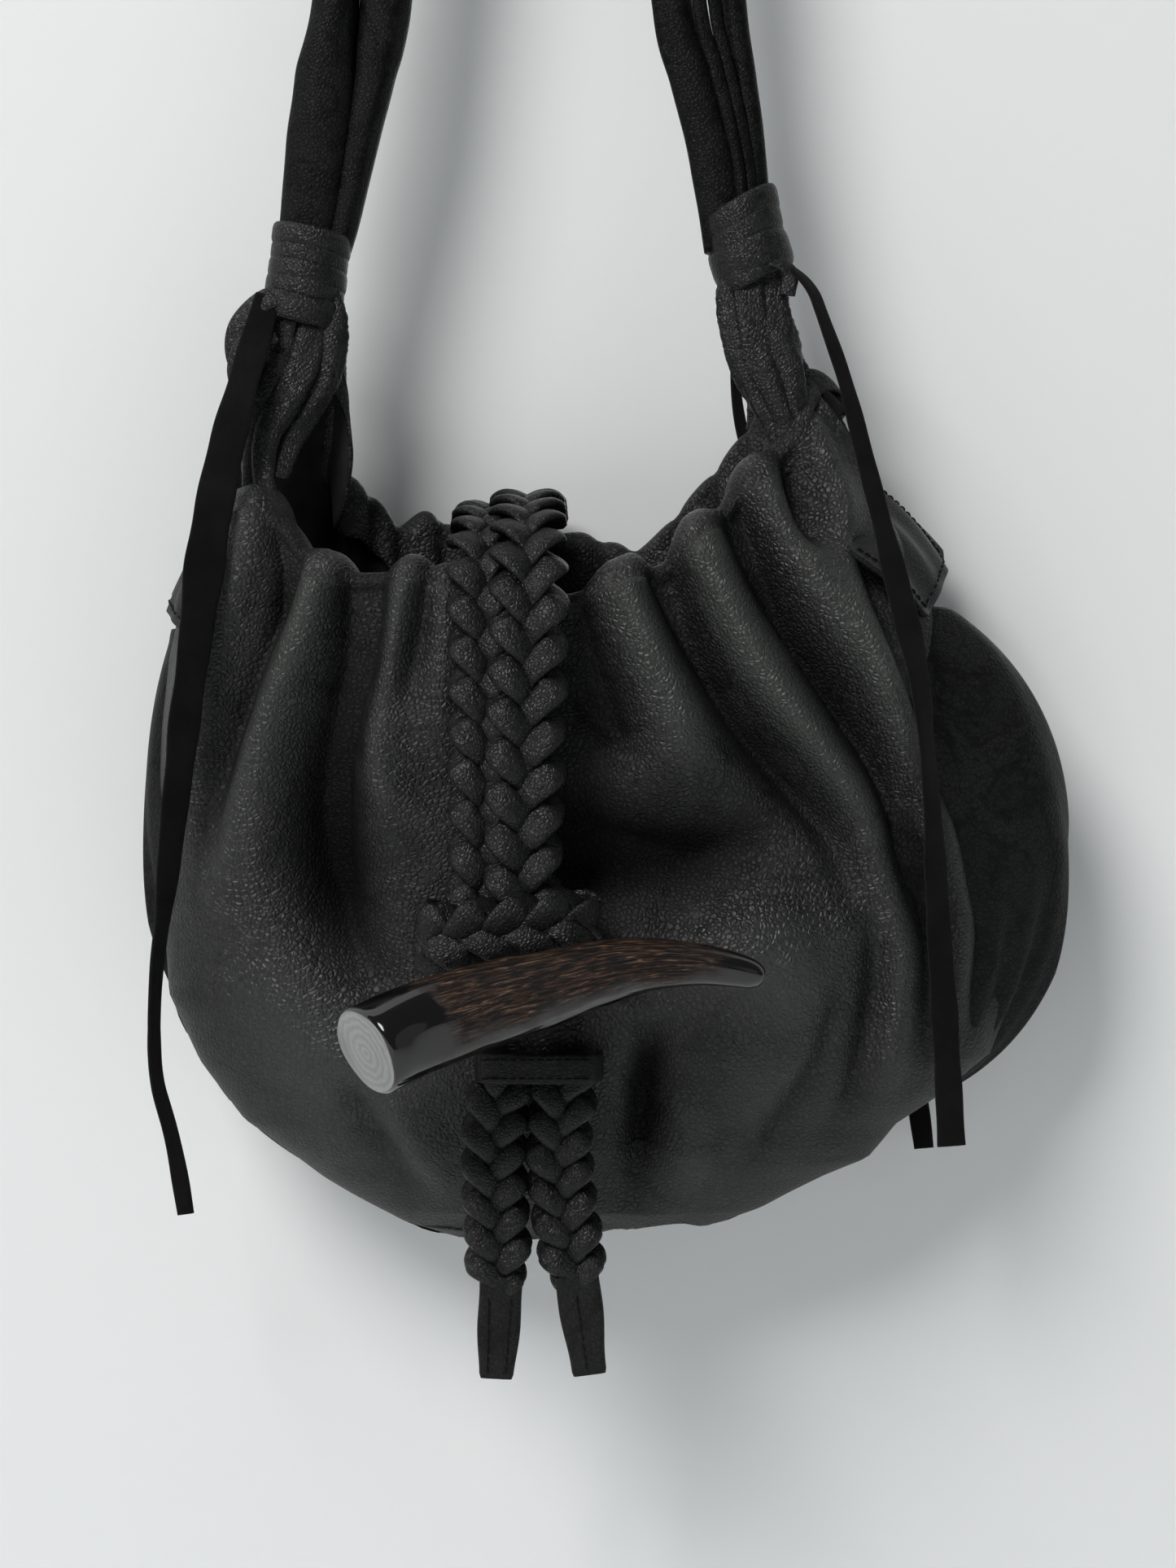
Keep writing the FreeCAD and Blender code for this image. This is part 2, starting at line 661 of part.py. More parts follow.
def make_horn():
    """A polished horn tip: a loft through circles along its curved middle, drilled for its lace."""
    rings = []
    for i, (x, y, z, _) in enumerate(HORN):
        before, after = HORN[max(i - 1, 0)], HORN[min(i + 1, len(HORN) - 1)]
        along = Vector(*after[:3]) - Vector(*before[:3])
        ring = bind(doc.addObject("Part::Circle", f"horn_ring_{i + 1}"), Radius=f"sizes.horn_radius_{i + 1}")
        ring.Placement = Placement(Vector(x, y, z), Rotation(Z_AXIS, along))
        rings.append(ring)
    form = doc.addObject("Part::Loft", "horn_form")
    form.Sections = rings
    form.Solid, form.Ruled = True, False
    tip = bind(doc.addObject("Part::Sphere", "horn_tip"), Radius=f"sizes.horn_radius_{len(HORN)}")
    tip.Placement.Base = Vector(*HORN[-1][:3])
    hole = cylinder_y("horn_hole", "sizes.stem_hole", "sizes.closure_x", "sizes.stem_level",
                      "sizes.stem_hole_front", "-40")
    return cut("horn", fuse("horn_with_tip", form, tip), hole)


keep(make_horn(), "toggle_horn")


def make_stem():
    """The folded lace through the horn and the front of the bag, with its knot inside."""
    rod = cylinder_y("stem_rod", "sizes.stem_radius", "sizes.closure_x", "sizes.stem_level",
                     "sizes.stem_front", "sizes.knot_y")
    knot = bind(doc.addObject("Part::Sphere", "stem_knot"), Radius="sizes.knot_radius")
    move(knot, "sizes.closure_x", "sizes.knot_y", "sizes.stem_level")
    return cut("stem", fuse("stem_with_knot", rod, knot), cut("stem_leather", skin, stem_hole))


def make_patch():
    """A round leather washer between the lace and the front of the bag."""
    disc = cylinder_y("patch_disc", "sizes.patch_radius", "sizes.closure_x", "sizes.stem_level",
                      "sizes.patch_front", "-38")
    ring = cut("patch_ring", disc, cylinder_y("patch_hole", "sizes.stem_hole", "sizes.closure_x",
                                              "sizes.stem_level", "-60", "-30"))
    return cut("patch", ring, outside)


keep(make_stem(), "toggle_lace")
keep(make_patch(), "toggle_washer")

# ---------------------------------------------------------------- keeper band and braided tails


def make_band():
    """A leather band sewn over the upper ends of the tails."""
    top = "sizes.band_bottom + sizes.band_height"
    block = box(
        "band_block",
        ("sizes.band_x - sizes.band_width / 2", "sizes.band_front", "sizes.band_bottom"),
        ("sizes.band_x + sizes.band_width / 2", "-30", top),
    )
    hollow = box(
        "band_hollow",
        ("sizes.band_x - sizes.band_width / 2 + sizes.band_wall", "sizes.band_front + sizes.band_wall",
         "sizes.band_bottom - 1"),
        ("sizes.band_x + sizes.band_width / 2 - sizes.band_wall", "-20", f"{top} + 1"),
    )
    return cut("band", cut("band_arch", block, hollow), outside)


keep(make_band(), "keeper_band")

TAILS = {"left": (-11.6, 3.0), "right": (13.4, -7.5)}  # x of each tail's tip, and how the tip leans


def make_root(side):
    """The fixed upper end of a tail, sewn to the bag under the band."""
    x, top = f"sizes.tail_{side}_x", "sizes.band_bottom + sizes.band_height - 0.8"
    block = box(
        f"{side}_root_block",
        (f"{x} - sizes.root_width / 2", "sizes.tail_y - sizes.tail_thick / 2", f"{top} - sizes.root_height"),
        (f"{x} + sizes.root_width / 2", "-36", top),
    )
    return cut(f"{side}_root", block, outside)


def make_tail(side):
    """A braided tail: a rounded bar that swings about a line just under the band."""
    tip_x, _ = TAILS[side]
    root_x, length = size(f"tail_{side}_x"), size(f"tail_{side}_length")
    lean = Rotation(Z_AXIS, Vector(tip_x - root_x, 0, -length))
    bar = doc.addObject("Part::Box", f"{side}_tail_bar")
    bind(bar, Length="sizes.tail_width", Width="sizes.tail_thick", Height=f"sizes.tail_{side}_length")
    pivot = Vector(root_x, size("tail_y"), size("tail_pivot"))
    corner = lean.multVec(Vector(-size("tail_width") / 2, -size("tail_thick") / 2, 0))
    bar.Placement = Placement(pivot + corner, lean)
    end = bind(doc.addObject("Part::Cylinder", f"{side}_tail_end"), Radius="sizes.tail_thick / 2",
               Height="sizes.tail_width - 2")
    end.Placement.Rotation = Rotation(Y_AXIS, 90)
    move(end, f"sizes.tail_{side}_x - sizes.tail_width / 2 + 1", "sizes.tail_y", "sizes.tail_pivot")
    return fuse(f"{side}_tail", bar, end)


def make_tip(side):
    """The stitched leather end of a tail, slightly narrower towards its end."""
    tip_x, lean = TAILS[side]
    body = new_body(f"{side}_tip")
    sketch = new_sketch(body, "XZ", f"{side}_tip_outline")
    wide, long = size("tip_width") / 2, size("tip_length")
    taper, shoulder = 1.6, 5.0
    draw_outline(sketch, [
        (-wide, 0), (wide, 0), (wide - 0.4, -shoulder), (wide - taper, -long + 2),
        (wide - taper - 2, -long), (-wide + taper + 2, -long), (-wide + taper, -long + 2),
        (-wide + 0.4, -shoulder),
    ])
    pad(body, sketch, "sizes.tip_thick", f"{side}_tip_pad", midplane=True)
    foot = Vector(tip_x, size("tail_y"), size("tail_pivot") - size(f"tail_{side}_length"))
    body.Placement = Placement(foot, Rotation(Y_AXIS, lean))
    return body


for tail_side in ("left", "right"):
    keep(make_root(tail_side), f"tail_root_{tail_side}")
    tail = make_tail(tail_side)
    tip = make_tip(tail_side)
    keep(cut(f"{tail_side}_tail_trimmed", tail, tip), f"tail_braid_{tail_side}")
    keep(tip, f"tail_tip_{tail_side}")

# ---------------------------------------------------------------- checks and export

doc.recompute()
failed = [o.Name for o in doc.Objects if {"Invalid", "Error"} & set(o.State)]
if failed:
    raise RuntimeError(f"these objects failed to rebuild: {failed}")
for part in parts:
    shape = part.Shape
    if shape.isNull() or not shape.isValid() or not shape.Solids:
        raise RuntimeError(f"{part.Label} is not a valid solid")
for made in doc.Objects:
    if made.TypeId == "Part::Sweep" and made.Sections[0].TypeId == "Part::Circle":
        check_tube(made, made.Sections[0].Radius.Value)

os.makedirs("parts", exist_ok=True)
for part in parts:
    part.Shape.exportStep(f"parts/{part.Label}.step")
    solids, volume = len(part.Shape.Solids), part.Shape.Volume / 1000
    centre = part.Shape.CenterOfGravity
    print(f"{part.Label}: {solids} solid(s), {volume:.2f} cm3, centre {centre.x:.1f} {centre.y:.1f} {centre.z:.1f}")
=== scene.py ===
# %% [markdown]
# # A gathered black leather shoulder bag
# The bag hangs by its strap in front of a pale wall. Its frame comes from the CAD model: +Z is up, the
# front faces -Y, and the origin is where a hook carries the strap. This notebook clothes that frame in
# folded leather, plaited strips, suede lace and horn. Lengths are written in millimetres, as a leather
# worker would, and turned into metres when a mesh is made.

import bpy
import bmesh
import math
import random
import numpy as np
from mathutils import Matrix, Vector


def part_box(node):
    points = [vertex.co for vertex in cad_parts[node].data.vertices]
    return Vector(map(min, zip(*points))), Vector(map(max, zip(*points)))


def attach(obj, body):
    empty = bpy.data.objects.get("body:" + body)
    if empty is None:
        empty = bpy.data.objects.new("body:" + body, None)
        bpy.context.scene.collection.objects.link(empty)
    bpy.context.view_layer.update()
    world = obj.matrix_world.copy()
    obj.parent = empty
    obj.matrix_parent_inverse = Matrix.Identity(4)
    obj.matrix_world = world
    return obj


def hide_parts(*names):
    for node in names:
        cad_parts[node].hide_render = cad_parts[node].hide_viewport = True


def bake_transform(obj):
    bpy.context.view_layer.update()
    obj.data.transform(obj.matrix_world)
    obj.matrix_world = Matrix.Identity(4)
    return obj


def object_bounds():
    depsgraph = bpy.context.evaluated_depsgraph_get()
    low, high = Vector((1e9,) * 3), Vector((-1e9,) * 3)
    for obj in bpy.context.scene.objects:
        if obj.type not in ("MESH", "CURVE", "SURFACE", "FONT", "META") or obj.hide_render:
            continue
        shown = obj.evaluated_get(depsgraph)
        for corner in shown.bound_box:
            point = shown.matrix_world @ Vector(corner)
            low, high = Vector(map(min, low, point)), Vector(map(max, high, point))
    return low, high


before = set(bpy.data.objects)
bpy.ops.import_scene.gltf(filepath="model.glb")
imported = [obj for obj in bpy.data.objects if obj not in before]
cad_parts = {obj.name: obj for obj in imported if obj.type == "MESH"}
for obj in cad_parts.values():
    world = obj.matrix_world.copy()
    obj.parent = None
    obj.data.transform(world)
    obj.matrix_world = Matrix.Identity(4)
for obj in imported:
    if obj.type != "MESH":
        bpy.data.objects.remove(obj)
cad_box = [list(corner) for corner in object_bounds()]
MM = 0.001

# %% [markdown]
# ## Camera, light and wall
# The bag is seen straight on, from as far as a person would stand to look at it. The wall is a plane
# that shows only its front, so that the bag's back can be looked at too, and it lets light through from
# behind. One large soft light stands high on the left and a weak one fills from the right.

# %% Camera
CAMERA_PLACE = (15.1, -900, -510.4)
VIEW_HEIGHT = 501  # what the camera sees of the wall's plane, top to bottom
SENSOR = 36

scene = bpy.context.scene
camera_data = bpy.data.cameras.new("camera")
camera_data.sensor_width = SENSOR
camera_data.lens = SENSOR * -CAMERA_PLACE[1] / VIEW_HEIGHT
camera_data.clip_start = 0.01
camera = bpy.data.objects.new("camera", camera_data)
camera.location = Vector(CAMERA_PLACE) * MM
camera.rotation_euler = (math.radians(90), 0, 0)
scene.collection.objects.link(camera)
scene.camera = camera


# %% Wall and floor
def stage_plane(name, size, place, tilt, material):
    bm = bmesh.new()
    bmesh.ops.create_grid(bm, x_segments=1, y_segments=1, size=size)
    mesh = bpy.data.meshes.new(name)
    bm.to_mesh(mesh)
    bm.free()
    plane = bpy.data.objects.new(name, mesh)
    plane.location = place
    plane.rotation_euler = (tilt, 0, 0)
    plane.data.materials.append(material)
    scene.collection.objects.link(plane)
    return plane


def one_sided_paint():
    """Matt pale paint that is clear from behind."""
    paint = bpy.data.materials.new("wall_paint")
    paint.use_nodes = True
    nodes, links = paint.node_tree.nodes, paint.node_tree.links
    surface = nodes["Principled BSDF"]
    surface.inputs["Base Color"].default_value = (0.80, 0.815, 0.82, 1)
    surface.inputs["Roughness"].default_value = 0.9
    surface.inputs["Specular IOR Level"].default_value = 0.1
    clear = nodes.new("ShaderNodeBsdfTransparent")
    side = nodes.new("ShaderNodeNewGeometry")
    path = nodes.new("ShaderNodeLightPath")
    either = nodes.new("ShaderNodeMath")
    either.operation = "MAXIMUM"
    mix = nodes.new("ShaderNodeMixShader")
    links.new(side.outputs["Backfacing"], either.inputs[0])
    links.new(path.outputs["Is Shadow Ray"], either.inputs[1])
    links.new(either.outputs[0], mix.inputs[0])
    links.new(surface.outputs[0], mix.inputs[1])
    links.new(clear.outputs[0], mix.inputs[2])
    links.new(mix.outputs[0], nodes["Material Output"].inputs[0])
    return paint


paint = one_sided_paint()
back_of_bag = cad_box[1][1]
stage_plane("wall", 3.0, (0, back_of_bag + 0.002, 0), math.radians(90), paint)
stage_plane("floor", 3.0, (0, 0, cad_box[0][2] - 0.12), 0, paint)


# %% Lights
def soft_light(name, place, aim, size, watts, tint):
    lamp = bpy.data.lights.new(name, "AREA")
    lamp.shape = "DISK"
    lamp.size = size
    lamp.energy = watts
    lamp.color = tint
    light = bpy.data.objects.new(name, lamp)
    light.location = place
    light.rotation_euler = (Vector(aim) - Vector(place)).to_track_quat("-Z", "Y").to_euler()
    scene.collection.objects.link(light)


BAG_MIDDLE = (0.015, 0, -0.52)
soft_light("window", (-1.5, -2.2, 1.75), BAG_MIDDLE, 1.7, 103, (1.0, 0.99, 0.97))
soft_light("behind", (0.4, 2.1, 0.3), BAG_MIDDLE, 1.4, 30, (1.0, 1.0, 1.0))
soft_light("fill", (1.3, -1.3, -0.2), BAG_MIDDLE, 1.2, 0.8, (0.94, 0.97, 1.0))
world = bpy.data.worlds.new("room")
world.use_nodes = True
world.node_tree.nodes["Background"].inputs[0].default_value = (0.9, 0.95, 1.0, 1)
world.node_tree.nodes["Background"].inputs[1].default_value = 0.11
scene.world = world
scene.view_settings.view_transform = "Standard"

# %% [markdown]
# ## Finishes
# Two effects are shared, so each is a node group. `pebble_grain` is the fine cell pattern of tumbled
# leather with a few soft creases. `nap` is the short brushed fibre of suede and of cut edges. Both give
# a height for a Bump node and a mask that varies the colour and the gloss.


# %% Node helpers
def new_group(name, inputs, outputs):
    group = bpy.data.node_groups.new(name, "ShaderNodeTree")
    for label, kind, value in inputs:
        socket = group.interface.new_socket(label, in_out="INPUT", socket_type=kind)
        if value is not None:
            socket.default_value = value
    for label, kind in outputs:
        group.interface.new_socket(label, in_out="OUTPUT", socket_type=kind)
    return group, group.nodes.new("NodeGroupInput"), group.nodes.new("NodeGroupOutput")


def add_node(tree, kind, **settings):
    node = tree.nodes.new(kind)
    for key, value in settings.items():
        setattr(node, key, value)
    return node


def feed(tree, socket, value):
    """Sets a socket to a plain number or colour, or joins it to another node's output."""
    if isinstance(value, (int, float, tuple)):
        socket.default_value = value
    else:
        tree.links.new(value, socket)


def maths(tree, operation, first, second=0.0):
    node = add_node(tree, "ShaderNodeMath", operation=operation)
    feed(tree, node.inputs[0], first)
    feed(tree, node.inputs[1], second)
    return node.outputs[0]


def noise(tree, vector, scale, detail=3.0, roughness=0.5, distortion=0.0):
    node = add_node(tree, "ShaderNodeTexNoise")
    for label, value in (("Vector", vector), ("Scale", scale), ("Detail", detail), ("Roughness", roughness),
                         ("Distortion", distortion)):
        feed(tree, node.inputs[label], value)
    return node.outputs["Fac"]


def remap(tree, value, low, high, to_low, to_high):
    node = add_node(tree, "ShaderNodeMapRange")
    tree.links.new(value, node.inputs["Value"])
    for label, number in zip(("From Min", "From Max", "To Min", "To Max"), (low, high, to_low, to_high)):
        node.inputs[label].default_value = number
    return node.outputs["Result"]


def blend_colours(tree, mask, first, second):
    node = add_node(tree, "ShaderNodeMix", data_type="RGBA")
    feed(tree, node.inputs["Factor"], mask)
    feed(tree, node.inputs[6], first)
    feed(tree, node.inputs[7], second)
    return node.outputs[2]


# %% Grain of tumbled leather
def pebble_grain_group():
    group, given, result = new_group(
        "pebble_grain",
        [("Vector", "NodeSocketVector", None), ("Cells", "NodeSocketFloat", 620.0),
         ("Creases", "NodeSocketFloat", 55.0)],
        [("Height", "NodeSocketFloat"), ("Worn", "NodeSocketFloat"), ("Pebble", "NodeSocketFloat")],
    )
    place = given.outputs["Vector"]
    wobble = noise(group, place, 180.0, 2.0)
    shifted = add_node(group, "ShaderNodeVectorMath", operation="ADD")
    group.links.new(place, shifted.inputs[0])
    pushed = maths(group, "MULTIPLY", wobble, 0.0022)
    group.links.new(pushed, shifted.inputs[1])
    cells = add_node(group, "ShaderNodeTexVoronoi", feature="DISTANCE_TO_EDGE")
    group.links.new(shifted.outputs[0], cells.inputs["Vector"])
    group.links.new(given.outputs["Cells"], cells.inputs["Scale"])
    pebbles = remap(group, cells.outputs["Distance"], 0.0, 0.28, 0.0, 1.0)
    creases = noise(group, place, given.outputs["Creases"], 4.0, 0.6, 1.2)
    folded = maths(group, "ABSOLUTE", maths(group, "SUBTRACT", creases, 0.5))
    crease_lines = remap(group, folded, 0.0, 0.06, 0.0, 1.0)
    fine = noise(group, place, 2400.0, 2.0)
    height = maths(group, "ADD", maths(group, "MULTIPLY", pebbles, 0.62),
                   maths(group, "MULTIPLY", crease_lines, 0.16))
    height = maths(group, "ADD", height, maths(group, "MULTIPLY", fine, 0.1))
    group.links.new(height, result.inputs["Height"])
    group.links.new(creases, result.inputs["Worn"])
    # Pebble is low at the cell edges and along the crease lines, the hollows that the leather paints darker
    # as shade.
    group.links.new(maths(group, "MULTIPLY", pebbles, crease_lines), result.inputs["Pebble"])
    return group


def nap_group():
    group, given, result = new_group(
        "nap",
        [("Vector", "NodeSocketVector", None), ("Fibre", "NodeSocketFloat", 900.0)],
        [("Height", "NodeSocketFloat"), ("Brushed", "NodeSocketFloat")],
    )
    fibres = noise(group, given.outputs["Vector"], given.outputs["Fibre"], 5.0, 0.75, 0.6)
    patches = noise(group, given.outputs["Vector"], 70.0, 3.0, 0.6)
    group.links.new(fibres, result.inputs["Height"])
    group.links.new(patches, result.inputs["Brushed"])
    return group


PEBBLE = pebble_grain_group()
NAP = nap_group()


# %% Leather, suede, cloth, thread
def start_material(name):
    material = bpy.data.materials.new(name)
    material.use_nodes = True
    tree = material.node_tree
    where = add_node(tree, "ShaderNodeTexCoord")
    return material, tree, tree.nodes["Principled BSDF"], where.outputs["Object"]


GRAIN_STRENGTH = 0.8
NAP_DEPTH, NAP_STRENGTH = 0.5, 0.7


def finish_bump(tree, surface, height, depth_mm, strength):
    bump = add_node(tree, "ShaderNodeBump")
    bump.inputs["Distance"].default_value = depth_mm * MM
    bump.inputs["Strength"].default_value = strength
    tree.links.new(height, bump.inputs["Height"])
    tree.links.new(bump.outputs["Normal"], surface.inputs["Normal"])


def shade(colour, factor):
    """The same colour, darker or lighter."""
    return tuple(factor * v for v in colour[:3]) + (1,)


def leather(name, dark, light, cells, creases, rough, bump_mm, shine, folds=False):
    """Black grained leather: cells and creases per metre, rough from its smooth to its dull places.

    With folds, the sheet's own "ridge" attribute paints shade into the valleys, which are also made rougher,
    and paints a highlight onto the crests. In the painted shade a near-black metal share takes the shine
    away, since a metal mirrors only its own colour.
    """
    material, tree, surface, place = start_material(name)
    grain = add_node(tree, "ShaderNodeGroup", node_tree=PEBBLE)
    tree.links.new(place, grain.inputs["Vector"])
    grain.inputs["Cells"].default_value = cells
    grain.inputs["Creases"].default_value = creases
    tone = remap(tree, grain.outputs["Worn"], 0.3, 0.7, 0.0, 1.0)
    colour = blend_colours(tree, tone, dark, light)
    # Painted shade: the grain's hollows, its cell edges and fine crease lines, are painted darker.
    gaps = shade(dark, 0.3)
    colour = blend_colours(tree, remap(tree, grain.outputs["Pebble"], 0.0, 0.55, 0.0, 1.0), gaps, colour)
    gloss = remap(tree, grain.outputs["Worn"], 0.3, 0.7, rough[0], rough[1])
    if folds:
        ridge = add_node(tree, "ShaderNodeAttribute", attribute_name="ridge").outputs["Fac"]
        # Painted shade in the valleys, towards a near-black copy of the dark tone; painted highlight on the
        # crests, towards a brighter copy of the light tone.
        valley, painted_crest_highlight = shade(dark, 0.15), shade(light, 2.3)
        colour = blend_colours(tree, remap(tree, ridge, 0.04, 0.45, 0.0, 1.0), valley, colour)
        colour = blend_colours(tree, remap(tree, ridge, 0.58, 0.92, 0.0, 1.0), colour, painted_crest_highlight)
        gloss = maths(tree, "ADD", gloss, remap(tree, ridge, 0.1, 0.6, 0.3, 0.0))
        # Painted shade: a metal share in the valleys takes their reflection away.
        tree.links.new(remap(tree, ridge, 0.05, 0.6, 0.9, 0.0), surface.inputs["Metallic"])
    tree.links.new(colour, surface.inputs["Base Color"])
    tree.links.new(gloss, surface.inputs["Roughness"])
    surface.inputs["Specular IOR Level"].default_value = shine
    finish_bump(tree, surface, grain.outputs["Height"], bump_mm, GRAIN_STRENGTH)
    return material


def suede(name, dark, light):
    material, tree, surface, place = start_material(name)
    nap = add_node(tree, "ShaderNodeGroup", node_tree=NAP)
    tree.links.new(place, nap.inputs["Vector"])
    tone = remap(tree, nap.outputs["Brushed"], 0.35, 0.65, 0.0, 1.0)
    tree.links.new(blend_colours(tree, tone, dark, light), surface.inputs["Base Color"])
    surface.inputs["Roughness"].default_value = 0.95
    surface.inputs["Specular IOR Level"].default_value = 0.08
    surface.inputs["Sheen Weight"].default_value = 0.04
    surface.inputs["Sheen Roughness"].default_value = 0.6
    finish_bump(tree, surface, nap.outputs["Height"], NAP_DEPTH, NAP_STRENGTH)
    return material


BODY_LEATHER = leather("pebbled_leather", (0.0095, 0.0107, 0.0098, 1), (0.0165, 0.0180, 0.0167, 1),
                       600.0, 30.0, (0.40, 0.52), 0.52, 0.38, folds=True)
# Painted shade: the pockets' leather is darker and duller than the body's, so that the pockets on the bag's
# sides read as shaded.
POCKET_LEATHER = leather("pocket_leather", (0.0065, 0.0072, 0.0068, 1), (0.0115, 0.0125, 0.0118, 1),
                         600.0, 30.0, (0.48, 0.6), 0.35, 0.12)
SMOOTH_LEATHER = leather("smooth_leather", (0.0062, 0.0069, 0.0065, 1), (0.0110, 0.0119, 0.0113, 1),
                         760.0, 45.0, (0.44, 0.58), 0.24, 0.2)
# Darker and duller than the strip leather: partly the strap's own darker leather, partly painted shade that
# holds down the strap's brightness close to the light.
STRAP_LEATHER = leather("strap_leather", (0.0038, 0.0043, 0.0040, 1), (0.0075, 0.0082, 0.0077, 1),
                        760.0, 40.0, (0.44, 0.58), 0.26, 0.1)
STRIP_LEATHER = leather("strip_leather", (0.0072, 0.0080, 0.0075, 1), (0.0130, 0.0140, 0.0132, 1),
                        820.0, 95.0, (0.36, 0.5), 0.3, 0.28)
LACE_SUEDE = suede("lace_suede", (0.0015, 0.0015, 0.0015, 1), (0.0042, 0.0042, 0.004, 1))
FLESH_SIDE = suede("leather_inside", (0.006, 0.006, 0.006, 1), (0.012, 0.012, 0.0115, 1))
LINING_CLOTH = suede("lining_cloth", (0.008, 0.008, 0.009, 1), (0.014, 0.014, 0.015, 1))
THREAD = suede("waxed_thread", (0.003, 0.003, 0.003, 1), (0.006, 0.006, 0.006, 1))
print("finishes:", len(bpy.data.materials))

# %% [markdown]
# ## Making surfaces
# Every leather piece here is a sheet or a strip. A sheet starts as a flat grid, and each of its corners
# is then moved to its place on the real piece. Welding the grid's two long edges makes a tube of it.
# Working out the places first, as one array, keeps the folds in plain arithmetic.


# %% Helpers for lines and sheets
def smooth_line(points, count):
    """Points evenly spread along a smooth line through the given ones."""
    given = np.array(points, float)
    ends = np.vstack([2 * given[0] - given[1], given, 2 * given[-1] - given[-2]])
    turn = np.linspace(0, 1, 24, endpoint=False)[:, None]
    pieces = []
    for a, b, c, d in zip(ends, ends[1:], ends[2:], ends[3:]):
        pieces.append(
            0.5 * (2 * b + (c - a) * turn + (2 * a - 5 * b + 4 * c - d) * turn**2
                   + (3 * b - a - 3 * c + d) * turn**3)
        )
    fine = np.vstack(pieces + [given[-1:]])
    along = np.r_[0, np.cumsum(np.linalg.norm(np.diff(fine, axis=0), axis=1))]
    at = np.linspace(0, along[-1], count)
    return np.stack([np.interp(at, along, fine[:, k]) for k in range(given.shape[1])], axis=1)


def unit(vectors):
    return vectors / np.maximum(np.linalg.norm(vectors, axis=-1, keepdims=True), 1e-9)


def make_piece(name, bm, materials, body, node=None):
    """Turns a bmesh into a piece that rides on a body and may stand for a CAD node."""
    mesh = bpy.data.meshes.new(name)
    bm.to_mesh(mesh)
    bm.free()
    for polygon in mesh.polygons:
        polygon.use_smooth = True
    piece = bpy.data.objects.new(name, mesh)
    for material in materials:
        piece.data.materials.append(material)
    scene.collection.objects.link(piece)
    if body:
        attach(piece, body)
    if node:
        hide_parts(node)
    return piece


def add_thickness(piece, thick, lined=False):
    """Thickens a sheet inwards; a lined one shows its second material inside."""
    solidify = piece.modifiers.new("thickness", "SOLIDIFY")
    solidify.thickness = thick * MM
    solidify.offset = -1
    solidify.use_even_offset = False
    if lined:
        solidify.material_offset = 1
        solidify.material_offset_rim = 0


def grid_mesh(places):
    """A bmesh grid whose corner in row i, column j stands at places[i, j], in millimetres."""
    rows, columns = places.shape[:2]
    bm = bmesh.new()
    bmesh.ops.create_grid(bm, x_segments=columns - 1, y_segments=rows - 1, size=1)
    for v in bm.verts:
        j = round((v.co.x + 1) / 2 * (columns - 1))
        i = round((v.co.y + 1) / 2 * (rows - 1))
        v.co = Vector(places[i, j]) * MM
    return bm


def grid_order(rows, columns):
    """The row and column of each corner of a new grid, in the mesh's own order."""
    bm = bmesh.new()
    bmesh.ops.create_grid(bm, x_segments=columns - 1, y_segments=rows - 1, size=1)
    at = np.array([v.co[:2] for v in bm.verts])
    bm.free()
    return (np.rint((at[:, 1] + 1) / 2 * (rows - 1)).astype(int),
            np.rint((at[:, 0] + 1) / 2 * (columns - 1)).astype(int))


def face_outwards(bm, centre):
    """Turns an open sheet's faces so that most of them look away from a point."""
    bm.normal_update()
    middle = Vector(centre) * MM
    facing = sum((f.calc_center_median() - middle).dot(f.normal) * f.calc_area() for f in bm.faces)
    if facing < 0:
        bmesh.ops.reverse_faces(bm, faces=bm.faces)


def close_tube(bm, ends=True):
    """Welds a rolled grid's long edges and closes its ends."""
    bmesh.ops.remove_doubles(bm, verts=bm.verts, dist=1e-7)
    if ends:
        rim = [e for e in bm.edges if e.is_boundary]
        bmesh.ops.holes_fill(bm, edges=rim, sides=0)
    bmesh.ops.recalc_face_normals(bm, faces=bm.faces)


def rounded(wave, power):
    """A wave with flatter or sharper tops."""
    return np.sign(wave) * np.abs(wave) ** power


def ribs_along(line, width_way, half_width, half_thick, corners, square):
    """Oval sections along a line: width_way points across the strip, square says how boxy they are."""
    line = np.array(line, float)
    tangent = unit(np.gradient(line, axis=0))
    face = unit(np.cross(tangent, np.broadcast_to(width_way, line.shape)))
    across = unit(np.cross(face, tangent))
    turn = np.linspace(0, 2 * math.pi, corners + 1)
    wide, thick = rounded(np.cos(turn), 2 / square), rounded(np.sin(turn), 2 / square)
    half_width = np.broadcast_to(half_width, len(line))[:, None, None]
    half_thick = np.broadcast_to(half_thick, len(line))[:, None, None]
    return (line[:, None] + across[:, None] * wide[None, :, None] * half_width
            + face[:, None] * thick[None, :, None] * half_thick)


def strip_mesh(line, width_way, half_width, half_thick, corners, square):
    """A closed strip with oval sections along a line."""
    bm = grid_mesh(ribs_along(line, width_way, half_width, half_thick, corners, square))
    close_tube(bm)
    return bm


def join_meshes(meshes):
    """One bmesh with everything that the given ones hold."""
    whole = bmesh.new()
    for bm in meshes:
        part = bpy.data.meshes.new("part")
        bm.to_mesh(part)
        bm.free()
        whole.from_mesh(part)
        bpy.data.meshes.remove(part)
    return whole


# %% [markdown]
# ## The gathered body
# The body is two sheets of soft leather, sewn together round the sides and the bottom and gathered
# along a drawn hem at the top. Gathering makes folds that start at the hem, spread and fade. A cloth
# simulation finds such folds but not these ones, so each main fold is laid down as a line with a height
# and a width, as a sculptor pulls ridges out of clay, and small random puckers go between them.

